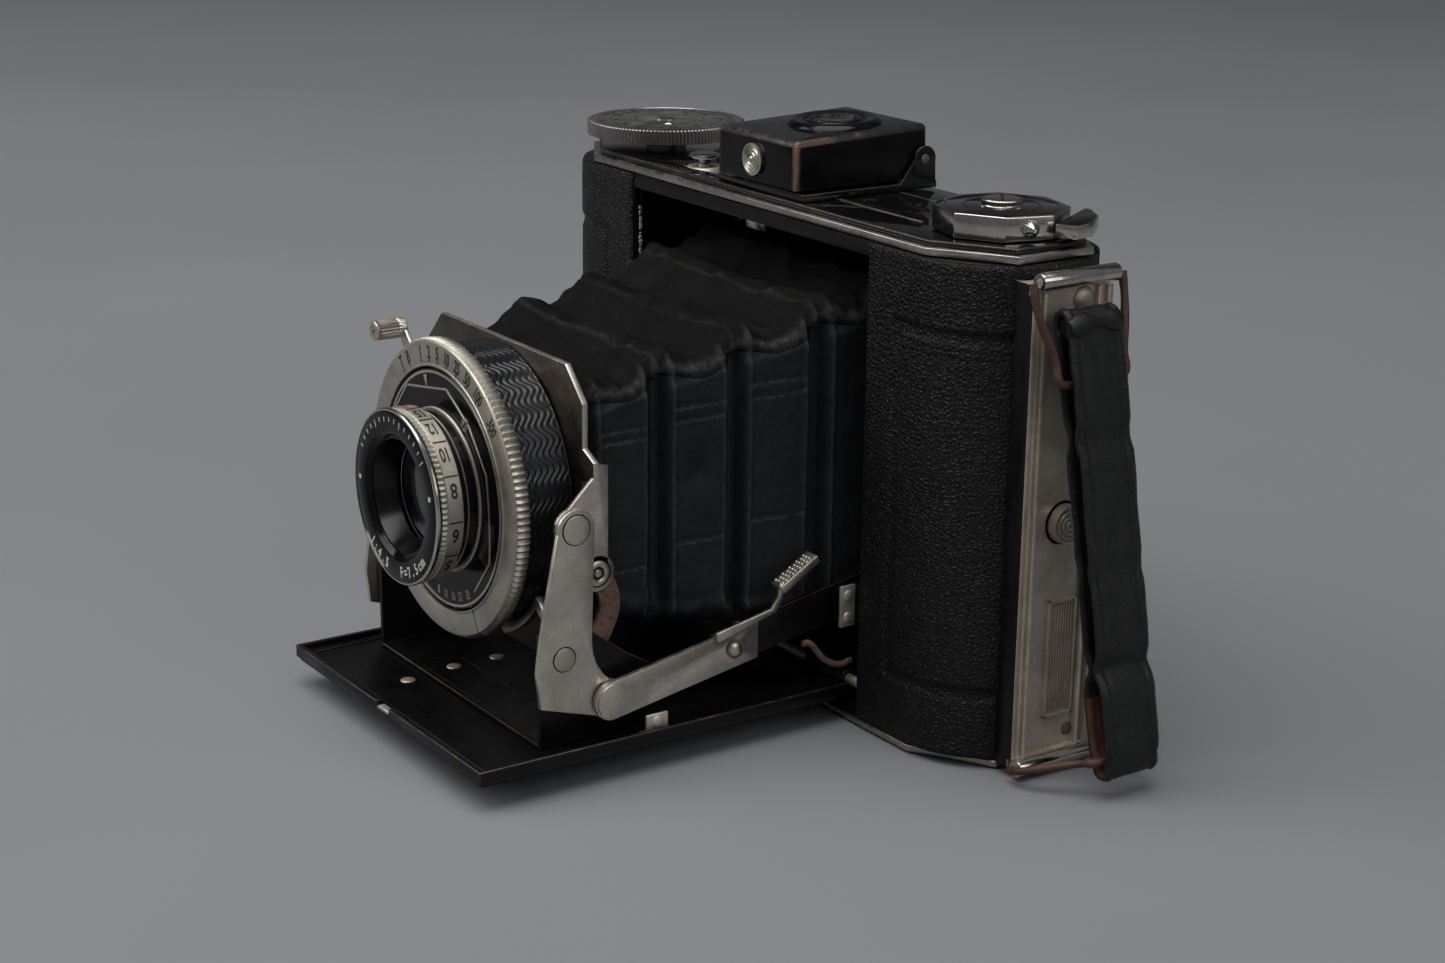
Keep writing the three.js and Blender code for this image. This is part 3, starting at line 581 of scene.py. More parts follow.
# ------------------------------------------------------------------ studio
def make_floor():
    """A pale floor, in metres, that bends up into a wall far behind the object."""
    wide, near, deep, bend = 4.0, -6.0, 1.2, 0.5
    verts = []
    profile = [(near, 0.0), (deep, 0.0)]
    profile += [(deep + bend * sin(a), bend * (1 - cos(a))) for a in np.linspace(0, pi / 2, 16)[1:]]
    profile.append((deep + bend, 2.6))
    away = Vector((-sin(AZIMUTH), cos(AZIMUTH), 0))
    side = Vector((cos(AZIMUTH), sin(AZIMUTH), 0))
    for along, up in profile:
        for across in (-wide, wide):
            verts.append(away * along + side * across + Vector((0, 0, up - 0.0003)))
    faces = [(i, i + 1, i + 3, i + 2) for i in range(0, 2 * len(profile) - 2, 2)]
    mesh = bpy.data.meshes.new("floor")
    mesh.from_pydata(verts, [], faces)
    look = Look("backdrop", Roughness=0.75, Specular_IOR_Level=0.25)
    tone = look.span(look.noise(0.004, 3), 0.3, 0.7)
    specks = look.span(look.noise(0.35, 4, 0.8), 0.70, 0.73, 0, 0.10)
    base = look.mix(tone, (0.185, 0.188, 0.196), (0.205, 0.208, 0.215))
    look.set("Base Color", look.mix(specks, base, (0.12, 0.12, 0.12)))
    mesh.materials.append(look.material)
    placed("floor", mesh)


def make_light():
    """A faint bluish world and three soft lamps round the camera."""
    world = bpy.data.worlds.new("studio")
    bpy.context.scene.world = world
    world.use_nodes = True
    background = world.node_tree.nodes["Background"]
    background.inputs["Color"].default_value = (0.75, 0.78, 0.84, 1)
    background.inputs["Strength"].default_value = 0.18
    target = Vector((0, -20, 40)) * MM

    def lamp(name, azimuth, elevation, far, size, power):
        data = bpy.data.lights.new(name, "AREA")
        data.size, data.energy = size, power
        az, el = rad(azimuth), rad(elevation)
        way = Vector((sin(az) * cos(el), -cos(az) * cos(el), sin(el)))
        placed(name, data).matrix_world = facing(target + way * far, way)

    lamp("overhead", 20, 78, 1.3, 1.2, 17)
    lamp("left_window", -35, 35, 1.4, 0.9, 8)
    lamp("right_fill", 100, 30, 1.5, 0.8, 3.5)
    bpy.context.scene.view_settings.view_transform = "Standard"


# ------------------------------------------------------------------ places from the frame
def pivot(joint):
    """Where a hinge's axis lies, in millimetres."""
    found = next(j for j in frame["joints"] if j["name"] == joint)
    return Vector(found["pos_m"]) / MM


def span_of(node):
    """A CAD node's lowest and highest corner, in millimetres."""
    low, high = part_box(node)
    return low / MM, high / MM


def centre_of(node):
    low, high = span_of(node)
    return (low + high) / 2


def standing_on(node, height=0.0):
    """A place on the upright line through a CAD node's middle."""
    middle = centre_of(node)
    return shift(middle.x, middle.y, height)


AXIS = pivot("speed_ring_turn")  # middle of the lens board's front
BED_PIVOT, BOARD_PIVOT = pivot("side_plate_turn"), pivot("standard_turn")
SHUTTER = Matrix.Translation(AXIS) @ spin(90, "X")  # +Z forwards, +Y up


def polar(radius, angle):
    return radius * cos(rad(angle)), radius * sin(rad(angle))


def turned_to(angle, place=SHUTTER):
    """The shutter's place, or another, turned about its own axis."""
    return place @ spin(angle)


def step(value, low, high):
    """0 below low, 1 above high, and smooth between."""
    t = min(1.0, max(0.0, (value - low) / (high - low)))
    return t * t * (3 - 2 * t)


def bulge(value, middle, wide):
    """1 at the middle, falling to 0 on both sides."""
    return math.exp(-(((value - middle) / wide) ** 2))


def uneven(point, scale, seed=0.0):
    """Smooth noise between about -1 and 1; scale is the size of its lumps in millimetres."""
    return noise.noise(Vector(point) / scale + Vector((seed, 3.7 * seed, -seed)))


# ------------------------------------------------------------------ more shapes
def lettering(text, size, place, narrow=0.72, thick=0.04):
    """Flat letters centred on a place's origin, reading along its X."""
    curve = bpy.data.curves.new("letters", "FONT")
    curve.body, curve.size, curve.extrude = text, size, thick
    curve.offset = 0.02 * size
    curve.align_x, curve.align_y, curve.resolution_u = "CENTER", "CENTER", 3
    thing = placed("letters", curve)
    bpy.context.view_layer.update()
    graph = bpy.context.evaluated_depsgraph_get()
    made = bpy.data.meshes.new_from_object(thing.evaluated_get(graph))
    squeeze = place @ Matrix.Diagonal((narrow, 1, 1, 1))
    shape = [squeeze @ v.co for v in made.vertices], [tuple(p.vertices) for p in made.polygons]
    bpy.data.objects.remove(thing)
    bpy.data.curves.remove(curve)
    bpy.data.meshes.remove(made)
    return shape


def sector(inner, outer, start, stop, low, high):
    """Part of a flat ring about Z between two angles in degrees."""
    angles = np.linspace(start, stop, 25)
    edge = [polar(outer, a) for a in angles] + [polar(inner, a) for a in reversed(angles)]
    return prism(edge, "z", low, high)


def grid_solid(rows, columns, point):
    """A closed sheet; point(row share, column share, outer) lies on its outer or inner face."""
    places = [(i / rows, j / columns) for i in range(rows + 1) for j in range(columns + 1)]
    verts = [point(*at, outer) for outer in (True, False) for at in places]
    wide = columns + 1
    back = (rows + 1) * wide
    faces = []
    for i in range(rows):
        for j in range(columns):
            a, b = i * wide + j, (i + 1) * wide + j
            faces.append((a, a + 1, b + 1, b))
            faces.append((back + a, back + b, back + b + 1, back + a + 1))
    rim = [i * wide for i in range(rows)] + [rows * wide + j for j in range(columns)]
    rim += [i * wide + columns for i in range(rows, 0, -1)] + [j for j in range(columns, 0, -1)]
    for i, a in enumerate(rim):
        b = rim[(i + 1) % len(rim)]
        faces.append((a, b, back + b, back + a))
    return verts, faces


def band(path, across, section):
    """A closed band swept round a closed path; section(share) gives (across, out) pairs."""
    n = len(path)
    verts = []
    for i, p in enumerate(path):
        along = (path[(i + 1) % n] - path[i - 1]).normalized()
        out = along.cross(across).normalized()
        verts += [p + across * a + out * b for a, b in section(i / n)]
    return verts, quads(n, len(verts) // n, True)


def screw(piece, place, radius, height, material, slot_angle=30, slot_wide=0.3):
    """A low slotted screw head standing on a place's origin, along its Z."""
    head = [(0, 0), (radius, 0), (radius, 0.6 * height), (0.8 * radius, height), (0, 1.1 * height)]
    piece.add(lathe(head, 28, place), material)
    long, wide = 0.86 * radius, slot_wide / 2
    groove = block((-long, long), (-wide, wide), (0.9 * height, 1.13 * height))
    piece.add(groove, DARK_METAL, move=place @ spin(slot_angle))


def rivet(piece, at, out, radius, height, material, flush=False):
    """A rivet head at a point, standing out along a direction; a flush one has a flat top."""
    place = facing(at, out)
    edge = round_head(radius, height)
    if flush:
        edge = [(0, -0.05), (radius, -0.05), (radius, 0.7 * height), (radius - 0.15, height), (0, height)]
        piece.add(washer(radius, radius + 0.18, -0.04, 0.02, 36, place), DARK_METAL)
    piece.add(lathe(edge, 36, place), material)


# ------------------------------------------------------------------ leather
SHELL_CENTRE, SHELL_ROUND, LEATHER_EDGE, SKIN = 43.8, 14.1, 32.2, 0.5


def end_outline(far, side):
    """A point and its outward normal on the body's round end, far along from the front edge."""
    straight = SHELL_CENTRE - LEATHER_EDGE
    if far < straight:
        return Vector((side * (LEATHER_EDGE + far), -SHELL_ROUND, 0)), Vector((0, -1, 0))
    a = (far - straight) / SHELL_ROUND - pi / 2
    out = Vector((side * cos(a), sin(a), 0))
    return Vector((side * SHELL_CENTRE, 0, 0)) + out * SHELL_ROUND, out


def end_leather(name, side):
    """Leather round one end, with a pressed frame line, pulled over its edges."""
    low, high = span_of(name)
    # the back edge lies on the arc, at the y where the back cover begins
    cover = math.asin((high.y if side > 0 else 8.4) / (SHELL_ROUND + SKIN))
    length = SHELL_CENTRE - LEATHER_EDGE + (cover + pi / 2) * SHELL_ROUND
    frame_line = (7.4, 64.6, 11.4)  # from the front edge; top and bottom of the line

    def thick(far, z):
        edge = min(far, length - far, z - low.z, high.z - z)
        roll = math.sqrt(max(0.0, 1 - (1 - min(1, edge / 0.9)) ** 2))
        reach = max(frame_line[0] - far, z - frame_line[1], frame_line[2] - z)
        groove = min(1.0, 1.7 * max(0.0, 1 - abs(reach) / 1.25))
        lip = max(0.0, 1 - abs(reach - 1.5) / 0.7) * 0.25
        faint = sum(max(0.0, 1 - abs(z - frame_line[1] + d) / 0.35) for d in (1.9, 3.1))
        pressed = 0.9 * groove - 0.15 * lip + (0.25 * faint if reach < 0 else 0)
        lump = 0.06 * uneven((far, z, side), 6) + 0.035 * uneven((far, z, 2 * side), 1.6)
        return 0.06 + (SKIN - 0.08) * (0.25 + 0.75 * roll) * (1 - pressed) + roll * lump

    def point(row, column, outer):
        far = row * length
        base, out = end_outline(far, side)
        z = low.z + column * (high.z - low.z)
        deep = thick(far, z) if outer else 0.05
        return base + out * deep + Vector((0, 0, z))

    piece = stand_in(name, "camera_body", "body_leather")
    fine = (190, 230) if side > 0 else (90, 110)
    piece.add(grid_solid(*fine, point), GRAIN)
    piece.done(60)


def back_parts():
    """Back cover with its leather, the slide over its windows, and its latch button."""
    refine("back_cover", "back", "black_enamel", DULL, 0.12, DARK_EDGE).done()
    refine("back_leather", "back", "body_leather", GRAIN, 0.12).done()
    slide = refine("window_slide", "back", "blackened_metal", AGED, 0.12)
    low, high = span_of("window_slide")
    for i in range(9):
        x = low.x + 26 + 1.1 * i
        rib = block((x, x + 0.5), (high.y - 0.05, high.y + 0.18), (low.z + 1.4, high.z - 1.4))
        slide.add(rib, AGED, 0.08)
    slide.done()
    latch = stand_in("back_latch_button", "back_latch", "worn_nickel")
    low, high = span_of("back_latch_button")
    middle = centre_of("back_latch_button")
    tall = high.x - low.x
    rings = grooved((2.8, 2.1, 1.4, 0.7), tall, (0.12, 0.1), (0.25, 0.4, 0.6), 0.22)
    edge = [(0, 0), (2.9, 0), *rings[:-1], (0, tall - 0.25)]
    latch.add(lathe(edge, 48, shift(low.x, middle.y, middle.z) @ spin(90, "Y")), AGED)
    latch.done()


# ------------------------------------------------------------------ bellows
# Flat card panels of the sides: front and rear in y, and the height of their tops.
PANELS = [
    (-54.0, -45.7, 57.0),
    (-41.9, -33.1, 59.2),
    (-29.7, -19.8, 61.8),
    (-16.0, -8.0, 64.4),
    (-4.5, 3.0, 67.0),
]
FRONT, REAR = -56.2, 8.6
# Rubbed lines across the first three panels, as heights.
SCRATCHES = [(49.2, 47.6, 28.0), (51.6, 49.6, 31.0), (53.9, 51.8, 33.0)]
# The section's parts, from the right side upwards and round, with their steps.
PARTS = (84, 16, 80, 16, 84, 8, 40, 8)
CARD_EDGE = 3.0  # the cards end this far below the cloth's top


def bellows_profile(y):
    """Half width, top and bottom at a place along the bellows, and how deep it is in a fold."""
    half = 21.6 + 5.2 * step((y - FRONT) / (REAR - FRONT), 0.0, 0.8)
    middles = [FRONT, *[(a + b) / 2 for a, b, _ in PANELS], REAR]
    top = float(np.interp(y, middles, [55.0, *[t for *_, t in PANELS], 68.0]))
    low = float(np.interp(y, [FRONT, -50, -40, -25, REAR], [21.0, 20.4, 18.6, 15.6, 13.4]))
    inside = min(abs(y - (a + b) / 2) - (b - a) / 2 for a, b, _ in PANELS)  # below 0 on a panel
    return half, top, low, inside


def rounded_box(part, share, half, low, high, r):
    """A point and its outward normal on a rounded section, in x and z."""
    quarter = part // 2
    centres = [(half - r, high - r), (r - half, high - r), (r - half, low + r), (half - r, low + r)]
    here, last = Vector(centres[quarter]), Vector(centres[quarter - 1])
    turn = rad(90 * quarter + (90 * share if part % 2 else 0))
    out = Vector((cos(turn), sin(turn)))
    return (here if part % 2 else last.lerp(here, share)) + r * out, out


def bellows_point(y, part, share):
    """A point on the cloth, its outward normal, and how rubbed it is."""
    half, top, low, inside = bellows_profile(y)
    fold, broad = step(inside, -0.2, 1.0), step(bellows_profile(y - 1.2)[3], -3.9, 1.9)
    at, out = rounded_box(part, share, half, low - 0.5 * fold, top + 1.7 * broad, 3.4)
    x, z = at
    side, over = abs(out.x), max(0.0, out.y)
    shoulder = step(z, top - CARD_EDGE - 0.7, top - CARD_EDGE + 0.5)
    lip = bulge(inside, -0.35, 0.4)
    rib = step(inside, 1.2, 1.8)
    valley = (3.0 - 1.1 * rib) * fold * (1 - 0.4 * step(z, top - 3, top + 1))
    push = side * (0.3 * lip - valley - 0.5 * shoulder * (1 - fold))
    bottom = max(0.0, 1 - (z - low) / 8) * side
    push += bottom * uneven((y, z, out.x), 2.4) + 0.14 * side * uneven((y, z, out.x), 5, 2)
    ridged = 1 - 2 * abs(uneven((0.5 * (x + 0.9 * y), 0.9 * (y - 0.4 * x), 3), 5.0))
    small = uneven((0.6 * x, y, 7), 1.9)
    push += over * (0.8 * ridged + 0.16 * small - 0.5 + 0.6 * uneven((x, y, 11), 9))
    shoulder_only = over * step(abs(x) / half, 0.6, 0.95)
    push += shoulder_only * (1.2 * broad - 0.6)
    push -= over * 1.5 * (1 - min(1, abs(x) / half) ** 2) * (1 - 0.8 * broad)
    push += 0.25 * shoulder * side * uneven((y, z, 5), 2.2)
    dent = 0.7 * math.exp(-((y + 37.6) ** 2 + (z - 41.5) ** 2) / 5) if out.x > 0.9 else 0
    crest = bulge(z, top + 1.7 * broad - 1.6, 1.0) * side
    worn = 0.75 * lip * side + 0.18 * shoulder + 0.12 * over * step(ridged, 0.6, 1.0) + 0.9 * crest
    worn += 0.5 * bottom * abs(uneven((z, y, 2), 1.5)) + 0.3 * fold * rib
    if out.x > 0.9:
        for (front, rear, _), heights in zip(PANELS, SCRATCHES):
            if front + 0.6 < y < rear - 0.4:
                worn += sum(0.9 for h in heights if abs(z - h - 0.05 * (y - front)) < 0.22)
                dent += sum(0.12 for h in heights if abs(z - h - 0.6) < 0.3)
    at = at + out * (push - dent)
    along = y + 0.6 * bottom * uneven((z, y, out.x), 3, 5) + 0.5 * over * uneven((x, z, 9), 6)
    return Vector((at.x, along, at.y)), Vector((out.x, 0, out.y)), worn


def bellows():
    """The cloth as one closed tube."""
    rows, wall = 190, 0.9
    low, high = span_of("bellows")
    front, rear = low.y, high.y
    columns = [(part, i / steps) for part, steps in enumerate(PARTS) for i in range(steps)]
    around = len(columns)
    outer, inner, ridges = [], [], []
    for i in range(rows + 1):
        y = front + (rear - front) * i / rows
        for part, share in columns:
            at, out, worn = bellows_point(y, part, share)
            at.y = min(rear, max(front, at.y))
            outer.append(at)
            inner.append(at - out * wall)
            ridges.append(worn)
    start = len(outer)
    faces = quads(rows + 1, around)
    faces += [tuple(start + i for i in face[::-1]) for face in faces]
    for end in (0, rows * around):
        for j in range(around):
            k = (j + 1) % around
            faces.append((end + j, end + k, start + end + k, start + end + j))
    mesh = bpy.data.meshes.new("bellows_cloth")
    mesh.from_pydata([v * MM for v in [*outer, *inner]], [], faces)
    layer = mesh.attributes.new("ridge", "FLOAT", "POINT")
    layer.data.foreach_set("value", ridges * 2)
    mesh.materials.append(CLOTH)
    mesh.materials.append(PAINTED_SHADE_TOP_CLOTH)
    # The top faces take the darker copy of the cloth: painted shade.
    painted_shade_top = [int(part in (1, 2, 3)) for part, _ in columns]
    mesh.polygons.foreach_set("material_index", painted_shade_top * 2 * rows + [0] * 2 * around)
    bm = bmesh.new()
    bm.from_mesh(mesh)
    bmesh.ops.recalc_face_normals(bm, faces=bm.faces)
    bm.to_mesh(mesh)
    bm.free()
    thing = placed("bellows_cloth", mesh)
    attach(thing, "camera_body")
    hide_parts("bellows")
    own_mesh(thing)


# ------------------------------------------------------------------ shutter and lens
def shutter_case():
    """Case with a moulded zigzag pattern, a collar and the socket of the cable release."""
    piece = stand_in("shutter_case", "standard", "blackened_metal")
    low, high, radius = 0.3, 6.6, 21.2
    turns, pitch = 32, 1.04  # waves round the case, distance between its ridges

    def ripple(h, angle):
        zig = 0.66 * sin(turns * angle)
        return 0.13 * (0.5 + 0.5 * cos(2 * pi * (h - zig) / pitch)) ** 1.3

    def ribbed(r, h, angle):
        if r < radius - 0.5 or not low + 0.2 < h < high - 0.2:
            return r
        return r - ripple(h, angle)

    rise = np.linspace(low + 0.05, high - 0.1, 62)
    edge = [(10.6, -1.8), (12.2, -1.8), (12.2, low), (20.9, low)]
    edge += [(radius, h) for h in rise]
    edge += [(20.9, high), (19.6, high), (19.6, 1.5), (11.8, 1.5), (11.8, 9.0), (10.6, 9.0)]
    piece.add(lathe(edge, turns * 22, SHUTTER, ribbed), CASE)
    # collar between the case and the speed ring, where no lever passes
    start, stop = rad(-98), rad(79)

    def collar(row, column, outer):
        h, angle = high - 0.1 + 1.2 * row, start + (stop - start) * column
        r = radius - ripple(h, angle) if outer else 19.9
        return SHUTTER @ Vector((r * cos(angle), r * sin(angle), h))

    piece.add(grid_solid(14, 330, collar), CASE)
    socket = turned_to(-110) @ shift(21.0, 0, 4.0) @ spin(90, "Y")
    piece.add(lathe([(0.7, 0), (1.4, 0), (1.4, 3.4), (1.1, 4.0), (0.7, 4.0)], 32, socket), SATIN)
    piece.done(50)


# Places of the numbers, in degrees counterclockwise from the right as seen from the front.
SPEEDS = {"T": 125, "B": 118, "1": 106, "2": 98.5, "5": 91, "10": 83, "25": 74, "50": 65}
SPEEDS.update({"100": 55, "300": 40})
STOPS = {"5.6": -110, "8": -96, "11": -88, "16": -80, "22": -72, "32": -63}
METRES = {"15": 80, "12": 62, "10": 41, "8": 17, "6": -13, "5": -38, "4": -70}


def speed_ring():
    """Reeded ring with the shutter speeds."""
    piece = stand_in("speed_ring", "speed_ring", "worn_nickel")
    teeth = 138
    rim = toothed(teeth, 0.45, 22.25, sharp=True)

    def reeded(r, h, angle):
        return r if 228 < math.degrees(angle) % 360 < 300 else rim(r, h, angle)

    edge = [(18.3, 9.3), (18.4, 9.2), (21.5, 9.2), (21.6, 8.1), (22.3, 8.0), (22.5, 8.2)]
    edge += [(22.5, 9.6), (22.3, 9.95), (22.2, 10.15), (21.95, 10.4), (21.8, 10.41), (18.9, 10.4)]
    edge += [(18.7, 10.3), (18.6, 10.45), (18.35, 10.45), (18.3, 10.3)]
    piece.add(lathe(edge, teeth * 6, SHUTTER, reeded), RING)
    for label, angle in SPEEDS.items():
        place = turned_to(angle) @ shift(20.35, 0, 10.4) @ spin(-90)
        piece.add(lettering(label, 2.75, place, 0.62), INK)
        mark = block((18.95, 19.35), (-0.1, 0.1), (10.35, 10.46))
        piece.add(mark, INK, move=turned_to(angle))
    seam = block((18.4, 22.5), (-0.1, 0.1), (9.6, 10.43))
    piece.add(seam, DARK_METAL, move=turned_to(-61))
    piece.done(40)


def shutter_face():
    """Black face with a pointed nickel frame line, an index, two screws and the stops."""
    piece = stand_in("shutter_face", "standard", "black_enamel")
    plate = [(12.2, 9.3), (18.0, 9.3), (18.0, 10.1), (17.9, 10.2), (12.3, 10.2), (12.2, 10.1)]
    piece.add(lathe(plate, 96, SHUTTER), GLOSS)
    border = [(17.3, 10.15), (17.75, 10.15), (17.7, 10.32), (17.35, 10.32)]
    piece.add(lathe(border, 96, SHUTTER), SATIN)
    line = [(-16.3, 6.0), (-15.2, 8.2), (-10.4, 13.6), (1.9, 15.6), (8.6, 11.6), (13.6, 5.4)]
    line += [(14.2, 0), (14.2, -7.5), (9.6, -13.2)]
    for (ax, ay), (bx, by) in zip(line, line[1:]):
        a, b = Vector((ax, ay, 0)), Vector((bx, by, 0))
        way = (b - a).normalized()
        place = Matrix.Translation((a + b) / 2) @ Matrix.Rotation(math.atan2(way.y, way.x), 4, "Z")
        half = (b - a).length / 2 + 0.12
        piece.add(block((-half, half), (-0.17, 0.17), (10.15, 10.34)), SATIN, 0.05, move=SHUTTER @ place)
    index = prism([(17.1, -0.55), (15.2, 0), (17.1, 0.55)], "z", 10.15, 10.4)
    piece.add(index, SATIN, 0.05, move=turned_to(105))
    for angle, reach in ((146, 15.6), (57, 13.8)):
        place = turned_to(angle) @ shift(reach, 0, 10.2)
        screw(piece, place, 1.0, 0.2, RING, 40 - angle, 0.26)
    for label, angle in STOPS.items():
        place = turned_to(angle) @ shift(16.2, 0, 10.2) @ spin(90)
        piece.add(lettering(label, 1.9, place, 0.62), WHITE)
        piece.add(block((17.8, 17.98), (-0.06, 0.06), (10.1, 10.24)), WHITE, move=turned_to(angle))
    window = sector(13.2, 15.6, -34, -6, 10.16, 10.26)
    piece.add(window, BRIGHT, move=SHUTTER)
    piece.done()


def lens_cells():
    """Barrel, focusing ring with its distances, name ring, glass, and what lies behind them."""
    barrel = stand_in("lens_barrel", "standard", "worn_nickel")
    core = [(9.6, 9.3), (11.9, 9.3), (11.9, 12.8), (11.6, 13.2), (9.6, 13.2)]
    barrel.add(lathe(core, 96, SHUTTER), CONE)
    for low, high, radius in ((10.2, 10.7, 12.4), (12.1, 12.4, 12.05)):
        edge = [(11.8, low), (radius - 0.15, low), (radius, low + 0.15), (radius, high - 0.15)]
        edge += [(radius - 0.2, high), (11.8, high)]
        barrel.add(lathe(edge, 96, SHUTTER), RING)
    barrel.done()

    ring = stand_in("focus_ring", "focus", "worn_nickel")
    teeth = 96
    edge = [(10.2, 13.5), (12.8, 13.5), (13.0, 13.7), (13.0, 16.0), (12.85, 16.12), (12.95, 16.25)]
    edge += [(13.05, 16.3), (13.05, 17.0), (12.9, 17.1), (10.2, 17.1)]
    ring.add(lathe(edge, teeth * 6, SHUTTER, toothed(teeth, 0.25, 12.8, 16.15)), RING)
    for label, angle in METRES.items():
        out = turned_to(angle) @ shift(13.0, 0, 14.85) @ spin(90, "Y")
        # the tops of the numbers point clockwise, and they read towards the front
        upright = out @ spin(180)
        ring.add(lettering(label, 3.1, upright, 0.52 if len(label) > 1 else 0.72), INK)
        tick = block((12.95, 13.07), (-0.11, 0.11), (13.8, 16.0))
        ring.add(tick, INK, move=turned_to(angle + 9))
    place = turned_to(97) @ shift(13.0, 0, 15.2) @ spin(90, "Y")
    ring.add(washer(0, 0.42, -0.02, 0.05, 20, place), RED)
    ring.done()

    name = stand_in("name_ring", "focus", "black_enamel")
    edge = [(8.9, 13.5), (9.9, 13.5), (9.9, 17.4), (13.0, 17.4), (13.05, 17.5), (13.05, 17.85)]
    edge += [(12.9, 17.95), (9.8, 18.1), (9.4, 17.9), (8.9, 17.2)]
    name.add(lathe(edge, 96, SHUTTER), GLOSS)
    edge = [(12.75, 17.5), (13.2, 17.5), (13.2, 17.8), (13.05, 17.98), (12.8, 18.0)]
    name.add(lathe(edge, 96, SHUTTER), BRIGHT)
    name.add(lathe([(7.4, 13.9), (8.88, 13.9), (8.88, 17.1), (8.6, 17.15)], 96, SHUTTER), CONE)
    pitch = 6.44  # degrees from one letter to the next
    for text, angle in (("1:4.5", -118), ("F=7.5cm", -62)):
        for i, letter in enumerate(text):
            turn = angle + (i - (len(text) - 1) / 2) * pitch
            place = turned_to(turn) @ shift(11.3, 0, 18.05) @ spin(90)
            name.add(lettering(letter, 2.28, place, 0.78), WHITE)
    for angle in range(40, 160, 8):
        tall = 0.7 if angle % 40 else 1.1
        mark = block((11.9 - tall, 11.9), (-0.09, 0.09), (17.95, 18.06))
        name.add(mark, WHITE, move=turned_to(angle))
    for angle in (13, 178):
        name.add(washer(0, 0.4, 0, 0.1, 20, turned_to(angle) @ shift(11.2, 0, 17.95)), WHITE)
    name.done()

    glass_piece = stand_in("front_lens", "focus", "clear_glass")
    lens = [(0, 11.2), (5, 11.3), (8.55, 11.6), (8.55, 12.6)]
    lens += [(8.4 * cos(a), 12.6 + 1.5 * sin(a)) for a in np.linspace(0.15, pi / 2, 9)[:-1]]
    glass_piece.add(lathe([*lens, (0, 14.1)], 64, SHUTTER), LENS)
    glass_piece.done(40)

    refine("rear_lens_cell", "standard", "blackened_metal", DARK_METAL, 0.1).done()
    refine("shutter_blades", "standard", "blackened_metal", BLADES, 0).done()
    refine("iris_diaphragm", "aperture", "blackened_metal", BLADES, 0).done()


def levers():
    """The three levers of the shutter: cocking, aperture and release."""
    cocking_at, stop_at, rise = 131, -153, 6.8  # degrees round the case, and height on it
    cocking = stand_in("cocking_lever", "cocking_lever", "worn_nickel")
    cocking.add(sector(20.2, 21.4, 118, 146, rise, rise + 0.7), SATIN, 0.1, move=SHUTTER)
    arm = prism([(21.0, -1.4), (27.4, -1.0), (27.4, 1.0), (21.0, 1.4)], "z", rise, rise + 0.7)
    cocking.add(arm, SATIN, 0.12, move=turned_to(cocking_at))
    grip = turned_to(cocking_at) @ shift(27.1, 0, rise)
    edge = [(0, 0), (1.3, 0), (1.5, 0.2), (1.5, 1.0), (1.45, 1.3), (1.5, 1.5), (1.5, 4.3)]
    edge += [(1.45, 4.65), (1.5, 4.8), (1.5, 5.0), (1.2, 5.2), (0.75, 5.2), (0.7, 4.7), (0, 4.7)]
    cocking.add(lathe(edge, 108, grip, toothed(18, 0.22, 1.2, 1.2, 4.6)), SATIN)
    cocking.done()

    stop = stand_in("aperture_lever", "aperture", "worn_nickel")
    stop.add(sector(20.2, 21.4, -176, -132, rise, rise + 0.7), SATIN, 0.1, move=SHUTTER)
    arm = prism([(21.0, -0.9), (25.0, -0.7), (25.0, 0.7), (21.0, 0.9)], "z", rise, rise + 0.6)
    stop.add(arm, SATIN, 0.1, move=turned_to(stop_at))
    pin = turned_to(stop_at) @ shift(24.4, 0, rise + 0.1)
    edge = [(0, 0), (0.5, 0), (0.5, 1.4), (0.85, 1.7), (0.85, 3.4), (0.6, 3.7), (0, 3.7)]
    stop.add(lathe(edge, 24, pin), SATIN)
    stop.done()
    refine("release_lever", "release_lever", "worn_nickel", SATIN, 0.12).done()


# ------------------------------------------------------------------ linkage
def mirrored(point, side):
    return Vector((side * point[0], point[1], point[2]))


# Middle of the curved link in y and z, from the eyelet on the lens board to its rivet on the bed.
LINK_LINE = [(-56.7, 30.6), (-54.2, 27.8), (-53.4, 24.4), (-54.5, 21.2), (-55.9, 18.4)]
LINK_LINE += [(-55.2, 15.4), (-53.0, 13.5), (-50.8, 13.2)]


def ribbon(line, half, eye, low, high):
    """A flat bar along a line in y and z, with wider round ends, between two places in x."""
    left, right = [], []
    for i, p in enumerate(line):
        along = heading(line, i)
        out = Vector((-along.y, along.x, 0))
        near = min((p - line[0]).length, (p - line[-1]).length)
        wide = max(half, math.sqrt(max(0.0, eye**2 - near**2)))
        left.append(p + out * wide)
        right.append(p - out * wide)

    def cap(end, before):
        along = (end - before).normalized()
        out = Vector((-along.y, along.x, 0))
        return [end + eye * (out * cos(a) + along * sin(a)) for a in np.linspace(0, pi, 12)[1:-1]]

    edge = [*left, *cap(line[-1], line[-2]), *right[::-1], *cap(line[0], line[1])]
    return prism([(p.x, p.y) for p in edge], "x", low, high)


